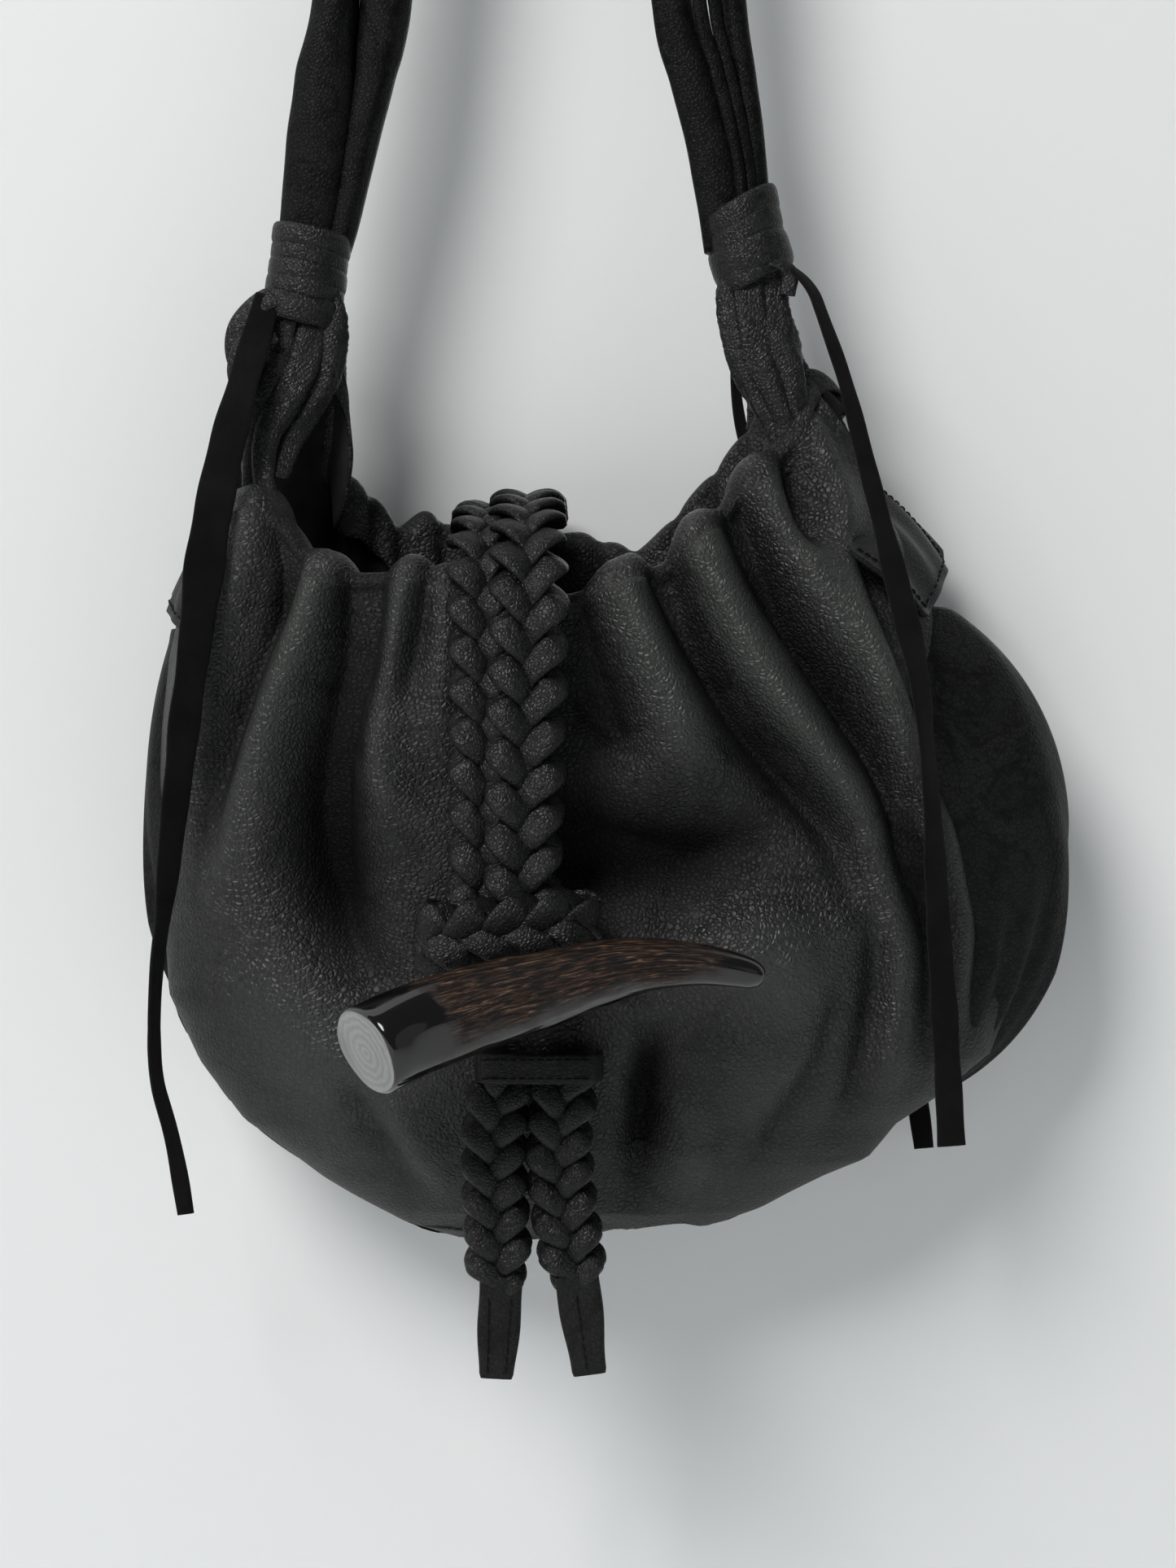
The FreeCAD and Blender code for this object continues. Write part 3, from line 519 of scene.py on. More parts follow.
# %% Form of the body
SEAM = [
    (-104, -426), (-113, -446), (-118, -472), (-120, -510), (-120, -548), (-118, -577), (-108, -598),
    (-94, -617), (-69, -635), (-43, -650), (-27, -654.5), (-6, -655), (14, -654.5), (33, -650),
    (44, -649), (54, -651), (70, -645), (90, -635), (104, -629), (113, -618), (127, -609), (143, -596),
    (150, -580), (152, -558), (151, -528), (143, -496), (131, -468), (119, -442), (105, -412),
]
DEPTHS = [  # height, depth of the front, depth of the back
    (-345, 6, 6), (-380, 9, 9), (-416, 22, 18), (-442, 33, 29), (-468, 39, 36), (-494, 42.5, 38),
    (-525, 44.5, 38.3), (-559, 44, 38.3), (-593, 41, 38), (-624, 33, 31), (-645, 21, 19), (-653, 10, 9),
    (-660, 4, 4),
]


def form_depth(x, z, side):
    """How far the plain, unfolded body stands from its middle plane; side 1 is the front, 2 the back."""
    seam = np.array(SEAM, float)
    low = int(np.argmin(seam[:, 1]))
    left, right = seam[: low + 1][::-1], seam[low:]
    x_left = np.interp(z, left[:, 1], left[:, 0])
    x_right = np.interp(z, right[:, 1], right[:, 0])
    table = np.array(DEPTHS)[::-1]
    depth = np.interp(z, table[:, 0], table[:, side])
    middle, half = (x_left + x_right) / 2, (x_right - x_left) / 2 + 0.5
    offset = np.clip(np.abs(x - middle) / half, 0, 1)
    return depth * (1 - offset**2.2) ** (1 / 2.2)


# %% Folds of the front and back
# Each fold: height above the plain form, width at its start and end, and its line. A ridge is broad and
# round, a valley narrow and sharp. Folds of the hem start at full height there, inner ones rise first.
FRONT_FOLDS = [
    (6.5, 8, 12, [(-84, -420), (-93, -445), (-105, -475), (-112, -505), (-114, -540)]),
    (-15, 6, 10, [(-73, -434), (-79, -455), (-87, -475), (-95, -497), (-100, -520), (-103, -548)]),
    (3.0, 4, 5, [(-79, -444), (-85, -466), (-92, -487)]),
    (11.5, 9, 17, [(-59, -440), (-70, -462), (-84, -487), (-92, -508), (-95, -532), (-93, -565)]),
    (-26, 5, 13, [(-51, -446), (-53, -468), (-58, -485), (-64, -507), (-66, -530), (-62, -552),
                  (-52, -570), (-42, -580)]),
    (9.5, 7, 14, [(-36, -444), (-44, -465), (-52, -488), (-51, -512), (-44, -537)]),
    (-5.5, 3, 6, [(-31, -446), (-36, -468), (-40, -490)]),
    (3.5, 5, 8, [(-26, -446), (-29, -480), (-28, -510)]),
    (-14.5, 4, 8, [(8, -446), (13, -470), (21, -488), (32, -508)]),
    (9.5, 10, 19, [(23, -446), (35, -472), (49, -500), (60, -518)]),
    (-15, 4, 8, [(33, -440), (45, -465), (60, -490), (79, -512), (93, -532), (98, -556)]),
    (9.5, 8, 14, [(45, -431), (60, -463), (80, -493), (99, -518), (108, -545), (110, -578)]),
    (-13.5, 4, 7, [(57, -424), (72, -453), (92, -483), (106, -510), (113, -540), (112, -570)]),
    (7.5, 8, 9, [(65, -412), (82, -443), (104, -480), (118, -511), (126, -545)]),
    (-9.0, 5, 4, [(74, -410), (80, -428), (86, -441)]),
    (6.0, 6, 8, [(85, -400), (94, -420), (97, -445), (108, -480), (119, -512)]),
    (-6.0, 4, 5, [(99, -436), (108, -466), (119, -493), (130, -522), (136, -556)]),
]
FRONT_INNER_FOLDS = [
    (-17, 13, 14, [(-14, -516), (6, -527), (28, -532), (52, -532), (82, -522)]),
    (-6.5, 22, 24, [(-4, -450), (-2, -485), (-1, -520), (0, -590)]),
    (6.5, 14, 16, [(40, -552), (60, -560), (86, -556)]),
    (5.0, 16, 18, [(86, -540), (84, -570), (76, -600), (62, -628)]),
    (1.5, 6, 6, [(28, -572), (27, -598), (28, -622), (29, -640)]),
    (-13.0, 5, 7, [(36, -580), (33, -604), (31, -625), (29, -645)]),
    (3.0, 8, 9, [(44, -600), (46, -622), (52, -645)]),
    (-4.5, 4, 5, [(94, -566), (86, -592), (74, -614), (60, -636)]),
    (6.5, 18, 24, [(-80, -540), (-72, -578), (-50, -606), (-30, -625)]),
    (-4.0, 5, 6, [(-62, -596), (-50, -618), (-38, -636)]),
    (3.5, 6, 7, [(-48, -602), (-36, -624), (-24, -642)]),
    (5.5, 5, 7, [(120, -506), (127, -533), (131, -560), (128, -590)]),
    (-7.0, 4, 5, [(112, -508), (119, -538), (122, -568), (118, -600)]),
    (4.5, 5, 6, [(108, -532), (112, -562), (108, -596), (98, -618)]),
    (-5.5, 4, 5, [(101, -540), (103, -570), (98, -602), (88, -624)]),
    (-5.5, 3, 5, [(133, -522), (138, -548), (138, -575), (133, -596)]),
    (3.0, 3, 4, [(140, -536), (144, -556), (142, -578)]),
]
BACK_FOLDS = [
    (-5.5, 2.6, 9, [(x, z + 6), (x * 1.12 - 2, z - 34), (x * 1.3 - 3, z - 90)])
    for x, z in [(-70, -420), (-57, -424), (-47, -431), (-33, -430), (-19, -433), (1, -435), (19, -434),
                 (30, -438), (44, -427), (57, -414), (68, -402), (80, -390)]
]


def fold_height(x, z, folds, inner=False):
    """Sum of the folds at each place, each fading across its width and towards its ends."""
    total = np.zeros_like(x)
    for height, start_width, end_width, line in folds:
        line = smooth_line(line, 4 * len(line))
        best, where = np.full_like(x, 1e9), np.zeros_like(x)
        for k, (a, b) in enumerate(zip(line, line[1:])):
            run = b - a
            t = np.clip(((x - a[0]) * run[0] + (z - a[1]) * run[1]) / (run @ run), 0, 1)
            away = np.hypot(x - a[0] - t * run[0], z - a[1] - t * run[1])
            nearer = away < best
            best, where = np.where(nearer, away, best), np.where(nearer, (k + t) / (len(line) - 1), where)
        width = start_width + (end_width - start_width) * where
        fade = np.cos(np.clip((where - 0.5) / 0.5, 0, 1) * math.pi / 2) ** 1.3
        if inner:
            fade = fade * np.sin(np.clip(where / 0.35, 0, 1) * math.pi / 2) ** 1.3
        spread = best / width
        profile = np.exp(-(spread**2)) if height > 0 else np.exp(-(np.sqrt(spread**2 + 0.09) - 0.3) * 1.35)
        total += height * fade * profile
    return total


def puckers(x, z, seed, waves=18):
    """Gentle unevenness: a sum of random ripples, most of them running down the bag."""
    dice = random.Random(seed)
    total = np.zeros_like(x)
    for _ in range(waves):
        length = dice.uniform(14, 60)
        turn = dice.gauss(0, 0.5)
        phase = dice.uniform(0, 6.28)
        total += length / 60 * np.sin((x * math.cos(turn) + z * math.sin(turn)) * 6.28 / length + phase)
    return total * 2 / waves


# %% Sheets of the body
BODY_THICK, LINING_THICK = 1.4, 0.8
INSIDE_VIEW = (10, 0, -560)  # a place inside the bag, from which its leather faces away
HEM_ROLL = 7.0
WALL_SIDE = 39.6  # where the wall flattens the back
FRONT_TOP = [
    (-101, -3, -424), (-92, -12, -425), (-84, -20, -427), (-76, -24, -435), (-67, -28, -447),
    (-56, -31, -450), (-40, -33.5, -450), (-25, -35, -451), (-8, -36, -454), (8, -35, -457),
    (19, -33, -453), (30, -30, -448.5), (38, -28, -447), (45, -26, -438), (54, -21, -432),
    (62, -16, -420), (71, -11, -412), (79, -7, -396), (83, -3, -388),
]
FRONT_SEAM = [(-104, -428)] + SEAM[1:-1] + [(104, -410), (92, -391), (87, -386)]
BACK_TOP = [
    (-79, 2, -366), (-71, 4, -374), (-67, 6, -388), (-68, 9, -402), (-70, 14, -414), (-62, 20, -417),
    (-55, 23, -423), (-47, 25, -431), (-38, 27, -427), (-28, 28.5, -432), (-12, 29.5, -434),
    (2, 29.5, -435), (14, 29.5, -434), (24, 28, -437), (34, 27, -438), (46, 23, -426), (58, 18, -413),
    (69, 12, -400), (79, 7, -388), (87, 4, -384), (94, 3, -391),
]
BACK_SEAM = [(-87, -368), (-93, -386), (-99, -406)] + SEAM + [(99, -398)]


def body_sheet(top, seam, side, folds, seed, columns=260, rows=150, inside=14.0, shrink=0.0):
    """One half of the body: up inside the hem, over its roll, and down to the seam."""
    front = -1 if side == 1 else 1
    top = smooth_line(top, columns)
    seam = smooth_line([(x, 0, z) for x, z in seam], columns)
    roll = HEM_ROLL - shrink
    middle = np.array([10.0, 0.0, -500.0])
    outward = top - middle
    outward[:, 2] = 0
    outward = unit(outward * [0.25, 1, 0] + [0, front * 8.0, 0])
    down = np.sin(np.linspace(0, 1, rows) * math.pi / 2)[None, :, None]
    flat = top[:, None] + (seam - top)[:, None] * down
    x, z = flat[..., 0], flat[..., 2]
    depth = form_depth(x, z, side) - shrink
    at_top = np.abs(top[:, 1]) - (form_depth(top[:, 0], top[:, 2], side))
    fade = (1 - down[..., 0]) ** 2
    y = front * np.maximum(depth + at_top[:, None] * fade, 0)
    sheet = np.stack([x, y, z], axis=-1) + outward[:, None] * roll * ((1 - down) ** 4)
    lean = unit(np.cross(np.gradient(sheet, axis=0), np.gradient(sheet, axis=1)))
    lean *= np.sign(np.sum(lean * [0, front, 0], axis=-1, keepdims=True))
    soft_edge = np.clip(np.abs(y) / 10, 0, 1)[..., None]
    lean = unit(lean * soft_edge + (sheet - middle) * [0.012, 0, 0.012] * (1 - soft_edge))
    height = fold_height(x, z, folds) + puckers(x, z, seed)
    if side == 1:
        height += fold_height(x, z, FRONT_INNER_FOLDS, inner=True)
    height = np.maximum(height, -4.5 - 26 * down[..., 0])
    height *= 0.35 + 0.65 * np.clip(np.abs(y) / 16, 0, 1)
    sheet += lean * height[..., None]
    if side == 2:
        sheet[..., 1] = np.minimum(sheet[..., 1], WALL_SIDE - shrink)
    turn = np.linspace(math.radians(200), 0, 16)[None, 1:-1, None]
    up = np.array([0, 0, 1.0])
    swell = roll + np.clip(height[:, :1, None] * 0.45, -3.0, 3.5)
    rolled = top[:, None] + swell * (np.cos(turn) * outward[:, None] + np.sin(turn) * up)
    drop = np.linspace(inside, 0, 6)[None, :, None]
    hidden = rolled[:, :1] - drop * up - 0.12 * drop * outward[:, None]
    # The fold height, squeezed into 0 to 1, becomes the "ridge" attribute from which the leather paints
    # shade into the valleys and a highlight onto the crests. The hem's roll and the part inside it take nine
    # tenths of their top row's value, so they get a little more painted shade.
    ridge = 0.54 + 0.5 * np.tanh(height / 15)
    rim = np.repeat(ridge[:, :1], hidden.shape[1] - 1 + rolled.shape[1], axis=1)
    places = np.concatenate([hidden[:, :-1], rolled, sheet], axis=1)
    return places, np.concatenate([rim * 0.9, ridge], axis=1)


def make_body_half(name, node, top, seam, side, folds, seed):
    places, ridge = body_sheet(top, seam, side, folds, seed)
    bm = grid_mesh(places)
    face_outwards(bm, INSIDE_VIEW)
    rows, columns = ridge.shape
    i, j = grid_order(rows, columns)
    piece = make_piece(name, bm, [BODY_LEATHER, FLESH_SIDE], "bag", node)
    # The "ridge" attribute carries the painted shade and highlight to the leather.
    shade_and_highlight_layer = piece.data.attributes.new("ridge", "FLOAT", "POINT")
    shade_and_highlight_layer.data.foreach_set("value", ridge[i, j].ravel())
    add_thickness(piece, BODY_THICK, lined=True)
    print(name, "corners:", rows * columns)


make_body_half("front_leather", "front_panel", FRONT_TOP, FRONT_SEAM, 1, FRONT_FOLDS, 5)
make_body_half("back_leather", "back_panel", BACK_TOP, BACK_SEAM, 2, BACK_FOLDS, 9)

# %% [markdown]
# ## Plaited strips
# The closure, its ring and the two tails are three-strand plaits. In a plait each strand swings from side
# to side and passes over its neighbours on the way in and under them on the way out. So every strand is
# the same wave, a third of a turn behind the last: sideways it is a sine, and front to back it is a sine
# at twice the pace. A flat soft strip is swept along each wave.

# %% Plait maker
STRAND_PHASES = (0.0, 2 * math.pi / 3, 4 * math.pi / 3)


def plait(line, face, half_width, period, strip, lift, seed, closed=False, narrow=None):
    """Three strips woven along a line; face points out of the plait's front at each place."""
    line, face = np.array(line, float), np.array(face, float)
    if closed:
        tangent = unit(np.roll(line, -1, axis=0) - np.roll(line, 1, axis=0))
    else:
        tangent = unit(np.gradient(line, axis=0))
    face = unit(face - tangent * np.sum(face * tangent, axis=1, keepdims=True))
    side = np.cross(tangent, face)
    steps = np.linalg.norm(np.roll(line, -1, axis=0) - line, axis=1)
    length = steps.sum() if closed else steps[:-1].sum()
    along = np.r_[0, np.cumsum(steps)][:-1] if closed else np.r_[0, np.cumsum(steps[:-1])]
    if closed:
        period = length / round(length / period)
    dice = random.Random(seed)
    width, thick = strip
    narrow = np.ones(len(line)) if narrow is None else narrow
    swing = (half_width - 0.38 * width) * narrow
    meshes = []
    for phase in STRAND_PHASES:
        turn = 2 * math.pi * along / period + phase
        sway = np.sin(turn) - 0.08 * np.sin(3 * turn)
        over = -rounded(np.sin(2 * turn), 0.6)
        weave = line + side * (swing * sway)[:, None] + face * (lift * narrow * over)[:, None]
        if closed:
            run = unit(np.roll(weave, -1, axis=0) - np.roll(weave, 1, axis=0))
        else:
            run = unit(np.gradient(weave, axis=0))
        across = unit(np.cross(face + side * (0.45 * np.sin(turn))[:, None], run))
        downhill = np.sum(across * tangent, axis=1, keepdims=True)
        across = unit(across + face * 0.75 * downhill)
        out = unit(np.cross(run, across))
        beat = [dice.uniform(0, 6.28) for _ in range(3)]
        wobble = narrow**0.5 + 0.05 * np.sin(turn * 1.7 + beat[0]) + 0.04 * np.sin(turn * 3.1 + beat[1])
        ring = np.linspace(0, 2 * math.pi, 17)
        wide, bulge = rounded(np.cos(ring), 0.9) * width / 2, rounded(np.sin(ring), 0.9) * thick / 2
        places = (weave[:, None] + across[:, None] * (wide[None, :] * wobble[:, None])[..., None]
                  + out[:, None] * (bulge[None, :] * wobble[:, None])[..., None])
        if closed:
            places = np.concatenate([places, places[:1]], axis=0)
        bm = grid_mesh(places)
        close_tube(bm, ends=not closed)
        meshes.append(bm)
    return join_meshes(meshes)


# %% Closure: two plaits over the mouth
CLOSURE_MIDDLE = -9.3
# Length of a plait over which a strip comes round again
CLOSURE_PITCH, RING_PITCH, TAIL_PITCH = 37.5, 40, 29.5
CLOSURE_SIDE = [(36, -422.6), (14, -422), (-12, -425), (-34, -434), (-46.5, -448), (-51, -471), (-53, -497),
                (-53, -562)]
CLOSURE_PLAITS = {  # name: middle across, forward step, half width, CAD node
    "left": (-16.2, 1.4, 10.2, "closure_braid_left"),
    "right": (-3.6, -3.0, 11.0, "closure_braid_right"),
}


def side_face(line):
    """The outward face of a line that runs in the plane seen from the side."""
    tangent = unit(np.gradient(np.array(line, float), axis=0))
    return np.cross(tangent, [1.0, 0, 0]) * -1


for which, (middle, step, half_width, node) in CLOSURE_PLAITS.items():
    route = smooth_line([(middle, y, z) for y, z in CLOSURE_SIDE], 420)
    route[:, 0] += 0.7 * np.sin(np.linspace(0, 9, len(route)) + step)
    outward = side_face(route)
    if outward[-1, 1] > 0:
        outward = -outward
    route += outward * -step * 0.8
    bm = plait(route, outward, half_width, CLOSURE_PITCH, (9.8, 3.8), 2.1, len(which))
    make_piece(f"closure_plait_{which}", bm, [STRIP_LEATHER], "closure", node)


# %% Loop at the closure's end
def loop_strips():
    """The loose ends of the plaits, which run on as a loop under the toggle."""
    meshes = []
    for shift, forward in ((0.0, 0.0), (3.6, 1.6), (-3.4, 2.8)):
        arc = [(-9.3 - 12.2 + shift * 0.3, -53 - forward, -556), (-21.5 + shift, -53 - forward, -568),
               (-19 + shift * 0.6, -53 - forward, -578), (-9.3, -53 - forward, -584.6 + abs(shift) * 0.7),
               (0.4 - shift * 0.6, -53 - forward, -578), (2.9 - shift, -53 - forward, -568),
               (2.9 - shift * 0.3, -53 - forward, -556)]
        meshes.append(strip_mesh(smooth_line(arc, 90), (0, -0.55, 0.85), 4.0, 1.7, 14, 2.4))
    return join_meshes(meshes)


make_piece("closure_loop_strips", loop_strips(), [STRIP_LEATHER], "closure", "closure_loop")


# %% Sliding ring
def ring_line(count=300):
    """A flat oval round the two plaits, seen from above."""
    turn = np.linspace(0, 2 * math.pi, count, endpoint=False)
    cos, sin = np.cos(turn), np.sin(turn)
    x = CLOSURE_MIDDLE + 24.6 * rounded(cos, 0.75)
    y = -55.0 - np.where(sin > 0, 6.5, 8.2) * rounded(sin, 0.8)
    z = -554.2 + 0.8 * np.sin(2 * turn) + 0.08 * (x - CLOSURE_MIDDLE)
    return np.stack([x, y, z], axis=1), np.stack([cos * 0.25, -rounded(sin, 0.5), 0 * turn], axis=1)


line, outward = ring_line()
bm = plait(line, outward, 9.6, RING_PITCH, (9.8, 3.4), 1.6, 4, closed=True)
make_piece("sliding_ring_plait", bm, [STRIP_LEATHER], "ring", "closure_ring")

# %% Tails: plaits and their stitched ends
TAILS = {  # root, bends and end of each tail's middle line, how its tip leans, and its half width
    "left": ([(-10, -48.4, -598), (-12.4, -49, -612), (-13.2, -49, -630), (-12.2, -48.8, -648),
              (-11.3, -48.6, -664)], 3.0, 9.2),
    "right": ([(8, -48.4, -594), (7, -49.4, -610), (6.2, -49.2, -624), (8, -49, -640), (12.2, -48.6, -663)],
              -7.5, 9.4),
}
TIP_LENGTH = 26


def tip_mesh(top, lean, half_width, seed):
    """A folded tab of leather, closed by a seam, that ends a tail."""
    down = np.array([math.sin(math.radians(lean)) * -1, 0, -math.cos(math.radians(lean))])
    line = np.array([np.array(top) + down * s for s in np.linspace(-5, TIP_LENGTH, 26)])
    share = np.linspace(0, 1, 26)
    width = half_width * (1 - 0.22 * share + 0.05 * np.sin(share * 7 + seed))
    width[-1] *= 0.93
    thick = np.interp(share, [0, 0.2, 0.9, 1], [2.6, 2.3, 2.0, 1.5])
    return strip_mesh(line, (1, 0, 0), width, thick, 20, 4.5), down


THREAD_RADIUS = 0.32


def stitch_row(start, end, out, count, length=2.2):
    """A row of short thread stitches from one place to another, lying on a surface."""
    start, end, out = (np.array(v, float) for v in (start, end, out))
    run = unit(end - start)
    bms = []
    for k in range(count):
        middle = start + (end - start) * (k + 0.5) / count
        bow = [middle - run * length / 2 - out * 0.25, middle - run * length / 5 + out * 0.22,
               middle + run * length / 5 + out * 0.22, middle + run * length / 2 - out * 0.25]
        bms.append(strip_mesh(smooth_line(bow, 6), np.cross(run, out), THREAD_RADIUS, THREAD_RADIUS, 6, 2.0))
    return bms


for which, (bends, lean, half_width) in TAILS.items():
    line = smooth_line(bends, 260)
    face = np.tile([0.0, -1.0, 0.0], (len(line), 1))
    narrow = np.interp(np.linspace(0, 1, len(line)), [0, 0.06, 0.86, 1], [0.8, 1, 1, 0.45])
    bm = plait(line, face, half_width, TAIL_PITCH, (8.2, 3.8), 1.9, 7 + len(which), narrow=narrow)
    make_piece(f"tail_plait_{which}", bm, [STRIP_LEATHER], f"tail_{which}", f"tail_braid_{which}")
    top = bends[-1]
    bm, down = tip_mesh(top, lean, 7.0, len(which))
    make_piece(f"tail_end_{which}", bm, [SMOOTH_LEATHER], f"tail_{which}", f"tail_tip_{which}")
    across = np.array([math.cos(math.radians(lean)), 0, -math.sin(math.radians(lean))])
    lines = (-3.4, 3.4) if which == "left" else (-0.8,)
    rows = []
    for offset in lines:
        near = np.array(top) + down * 1.5 + across * offset + [0, -2.5, 0]
        far = np.array(top) + down * (TIP_LENGTH - 1.5) + across * offset * 0.8 + [0, -2.1, 0]
        rows += stitch_row(near, far, (0, -1, 0), 8)
    make_piece(f"tail_stitches_{which}", join_meshes(rows), [THREAD], f"tail_{which}")

# %% [markdown]
# ## Horn toggle
# A horn tip is a bent cone: round, slightly lumpy, polished black at its sawn base and at its point, and
# left rough and streaked with brown between them. The streaks follow the horn's length, so the piece gets
# a UV map whose first axis runs along it, and the material stretches its noise along that axis.

# %% Horn shape
HORN = [
    (-48.6, -88.6, -587.2, 13.3), (-45.6, -87.8, -586.0, 13.5), (-37.0, -85.0, -582.3, 13.4),
    (-23.0, -81.5, -577.4, 12.8), (-9.3, -78.6, -573.4, 12.0), (3.0, -77.0, -570.3, 11.1),
    (19.4, -75.0, -565.8, 9.6), (33.8, -72.5, -563.6, 7.7), (48.0, -71.2, -563.6, 6.2),
    (58.0, -70.6, -565.0, 5.2), (63.5, -70.4, -566.4, 4.3), (66.5, -70.3, -567.5, 2.6),
]


HORN_COLUMNS = 49


def horn_mesh():
    stations = smooth_line(HORN, 120)
    line, radius = stations[:, :3], stations[:, 3]
    share = np.linspace(0, 1, len(line))
    places = ribs_along(line, (0, 1, -0.2), radius, radius, HORN_COLUMNS - 1, 2.0)
    slant = np.clip(1 - np.arange(len(line)) / 18, 0, 1)[:, None] ** 1.5
    places[..., 0] -= 0.42 * slant * (places[..., 1] - line[:, 1:2])
    turn = np.linspace(0, 2 * math.pi, HORN_COLUMNS)
    lumps = 0.25 * np.sin(3 * turn[None] + share[:, None] * 5)
    lumps = lumps + 0.18 * np.sin(5 * turn[None] - share[:, None] * 9)
    rough = np.exp(-(((share - 0.5) / 0.28) ** 4))[:, None]
    flutes = 0.16 * np.sin(17 * turn[None] + 2.5 * np.sin(share[:, None] * 14)) * rough
    flutes += 0.12 * np.sin(29 * turn[None] + 3 * np.sin(share[:, None] * 23)) * rough
    away = unit(places - line[:, None])
    places = places + away * ((lumps + flutes) * (radius / 13)[:, None])[..., None]
    return grid_mesh(places), len(line)


def make_horn():
    bm, rows = horn_mesh()
    layer = bm.loops.layers.uv.new("along")
    bm.verts.ensure_lookup_table()
    order = {v: k for k, v in enumerate(bm.verts)}
    for face in bm.faces:
        for loop_corner in face.loops:
            k = order[loop_corner.vert]
            row, column = divmod(k, HORN_COLUMNS)
            loop_corner[layer].uv = (row / (rows - 1), column / (HORN_COLUMNS - 1))
    bmesh.ops.remove_doubles(bm, verts=bm.verts, dist=1e-7)
    rims = [e for e in bm.edges if e.is_boundary]
    bmesh.ops.holes_fill(bm, edges=rims, sides=0)
    bmesh.ops.recalc_face_normals(bm, faces=bm.faces)
    caps = [f for f in bm.faces if len(f.verts) > 8]
    end = min(caps, key=lambda f: f.calc_center_median().x)
    inner = bmesh.ops.inset_region(bm, faces=[end], thickness=0.0008, depth=0.0005)
    end.material_index = 1
    for face in inner["faces"]:
        face.material_index = 0
    return bm


def horn_materials():
    material, tree, surface, place = start_material("polished_horn")
    along = add_node(tree, "ShaderNodeUVMap", uv_map="along")
    stretch = add_node(tree, "ShaderNodeMapping")
    stretch.inputs["Scale"].default_value = (5.0, 24.0, 1.0)
    tree.links.new(along.outputs["UV"], stretch.inputs["Vector"])
    streaks = noise(tree, stretch.outputs[0], 3.4, 7.0, 0.68, 0.7)
    split = add_node(tree, "ShaderNodeSeparateXYZ")
    tree.links.new(along.outputs["UV"], split.inputs[0])
    edge_noise = maths(tree, "MULTIPLY", noise(tree, place, 90.0, 3.0), 0.2)
    position = maths(tree, "ADD", split.outputs["X"], maths(tree, "SUBTRACT", edge_noise, 0.1))
    rise = remap(tree, position, 0.15, 0.22, 0.0, 1.0)
    fall = remap(tree, position, 0.80, 0.93, 1.0, 0.0)
    # Painted shade: along the underside the streaked brown gives way to near-black, for the side turned from
    # the light. The underside is made glossier as well.
    below = maths(tree, "ABSOLUTE", maths(tree, "SUBTRACT", split.outputs["Y"], 0.74))
    below = maths(tree, "ADD", below, maths(tree, "SUBTRACT", edge_noise, 0.1))
    away_from_shaded_underside = remap(tree, below, 0.06, 0.16, 0.12, 1.0)
    rough_part = maths(tree, "MULTIPLY", maths(tree, "MULTIPLY", rise, fall), away_from_shaded_underside)
    brown = blend_colours(tree, remap(tree, streaks, 0.475, 0.53, 0.0, 1.0), (0.0035, 0.003, 0.003, 1),
                          (0.034, 0.0175, 0.011, 1))
    pale = blend_colours(tree, remap(tree, streaks, 0.57, 0.64, 0.0, 1.0), brown, (0.16, 0.10, 0.062, 1))
    colour = blend_colours(tree, rough_part, (0.0045, 0.004, 0.004, 1), pale)
    tree.links.new(colour, surface.inputs["Base Color"])
    tree.links.new(remap(tree, rough_part, 0.0, 1.0, 0.10, 0.40), surface.inputs["Roughness"])
    surface.inputs["Specular IOR Level"].default_value = 0.16
    tree.links.new(remap(tree, rough_part, 0.0, 1.0, 0.9, 0.0), surface.inputs["Coat Weight"])
    surface.inputs["Coat Roughness"].default_value = 0.08
    height = maths(tree, "MULTIPLY", streaks, rough_part)
    finish_bump(tree, surface, height, 0.9, 0.7)
    sawn, tree, surface, place = start_material("sawn_horn")
    rings = add_node(tree, "ShaderNodeTexWave", wave_type="RINGS", rings_direction="X")
    rings.inputs["Scale"].default_value = 130.0
    rings.inputs["Distortion"].default_value = 4.0
    rings.inputs["Detail Scale"].default_value = 2.0
    moved = add_node(tree, "ShaderNodeMapping")
    moved.inputs["Location"].default_value = (0, 0.0886, 0.588)
    tree.links.new(place, moved.inputs["Vector"])
    tree.links.new(moved.outputs[0], rings.inputs["Vector"])
    tone = blend_colours(tree, rings.outputs["Fac"], (0.17, 0.18, 0.18, 1), (0.24, 0.245, 0.245, 1))
    tree.links.new(tone, surface.inputs["Base Color"])
    surface.inputs["Roughness"].default_value = 0.32
    return material, sawn


make_piece("horn_toggle", make_horn(), horn_materials(), "toggle", "toggle_horn")

# %% [markdown]
# ## Keeper band
# A narrow strap is sewn across the roots of the tails. It is a flat strip bent over them, so it is swept
# along a line that leaves the bag, crosses in front and goes back to the bag.

# %% Band and its stitches
BAND_LINE = [(-18.6, -41.5, -596), (-17.8, -49, -596), (-14, -54.2, -596), (0, -55, -596), (14, -54.4, -596),
             (18.2, -49, -596), (19, -41.5, -596)]
bm = strip_mesh(smooth_line(BAND_LINE, 70), (0, 0, 1), 4.6, 0.9, 14, 4.0)
make_piece("keeper_strap", bm, [SMOOTH_LEATHER], "bag", "keeper_band")
stitches = []
for z in (-593.2, -598.8):
    stitches += stitch_row((-17, -55.6, z), (16, -55.9, z), (0, -1, 0), 12)
make_piece("keeper_stitches", join_meshes(stitches), [THREAD], "bag")
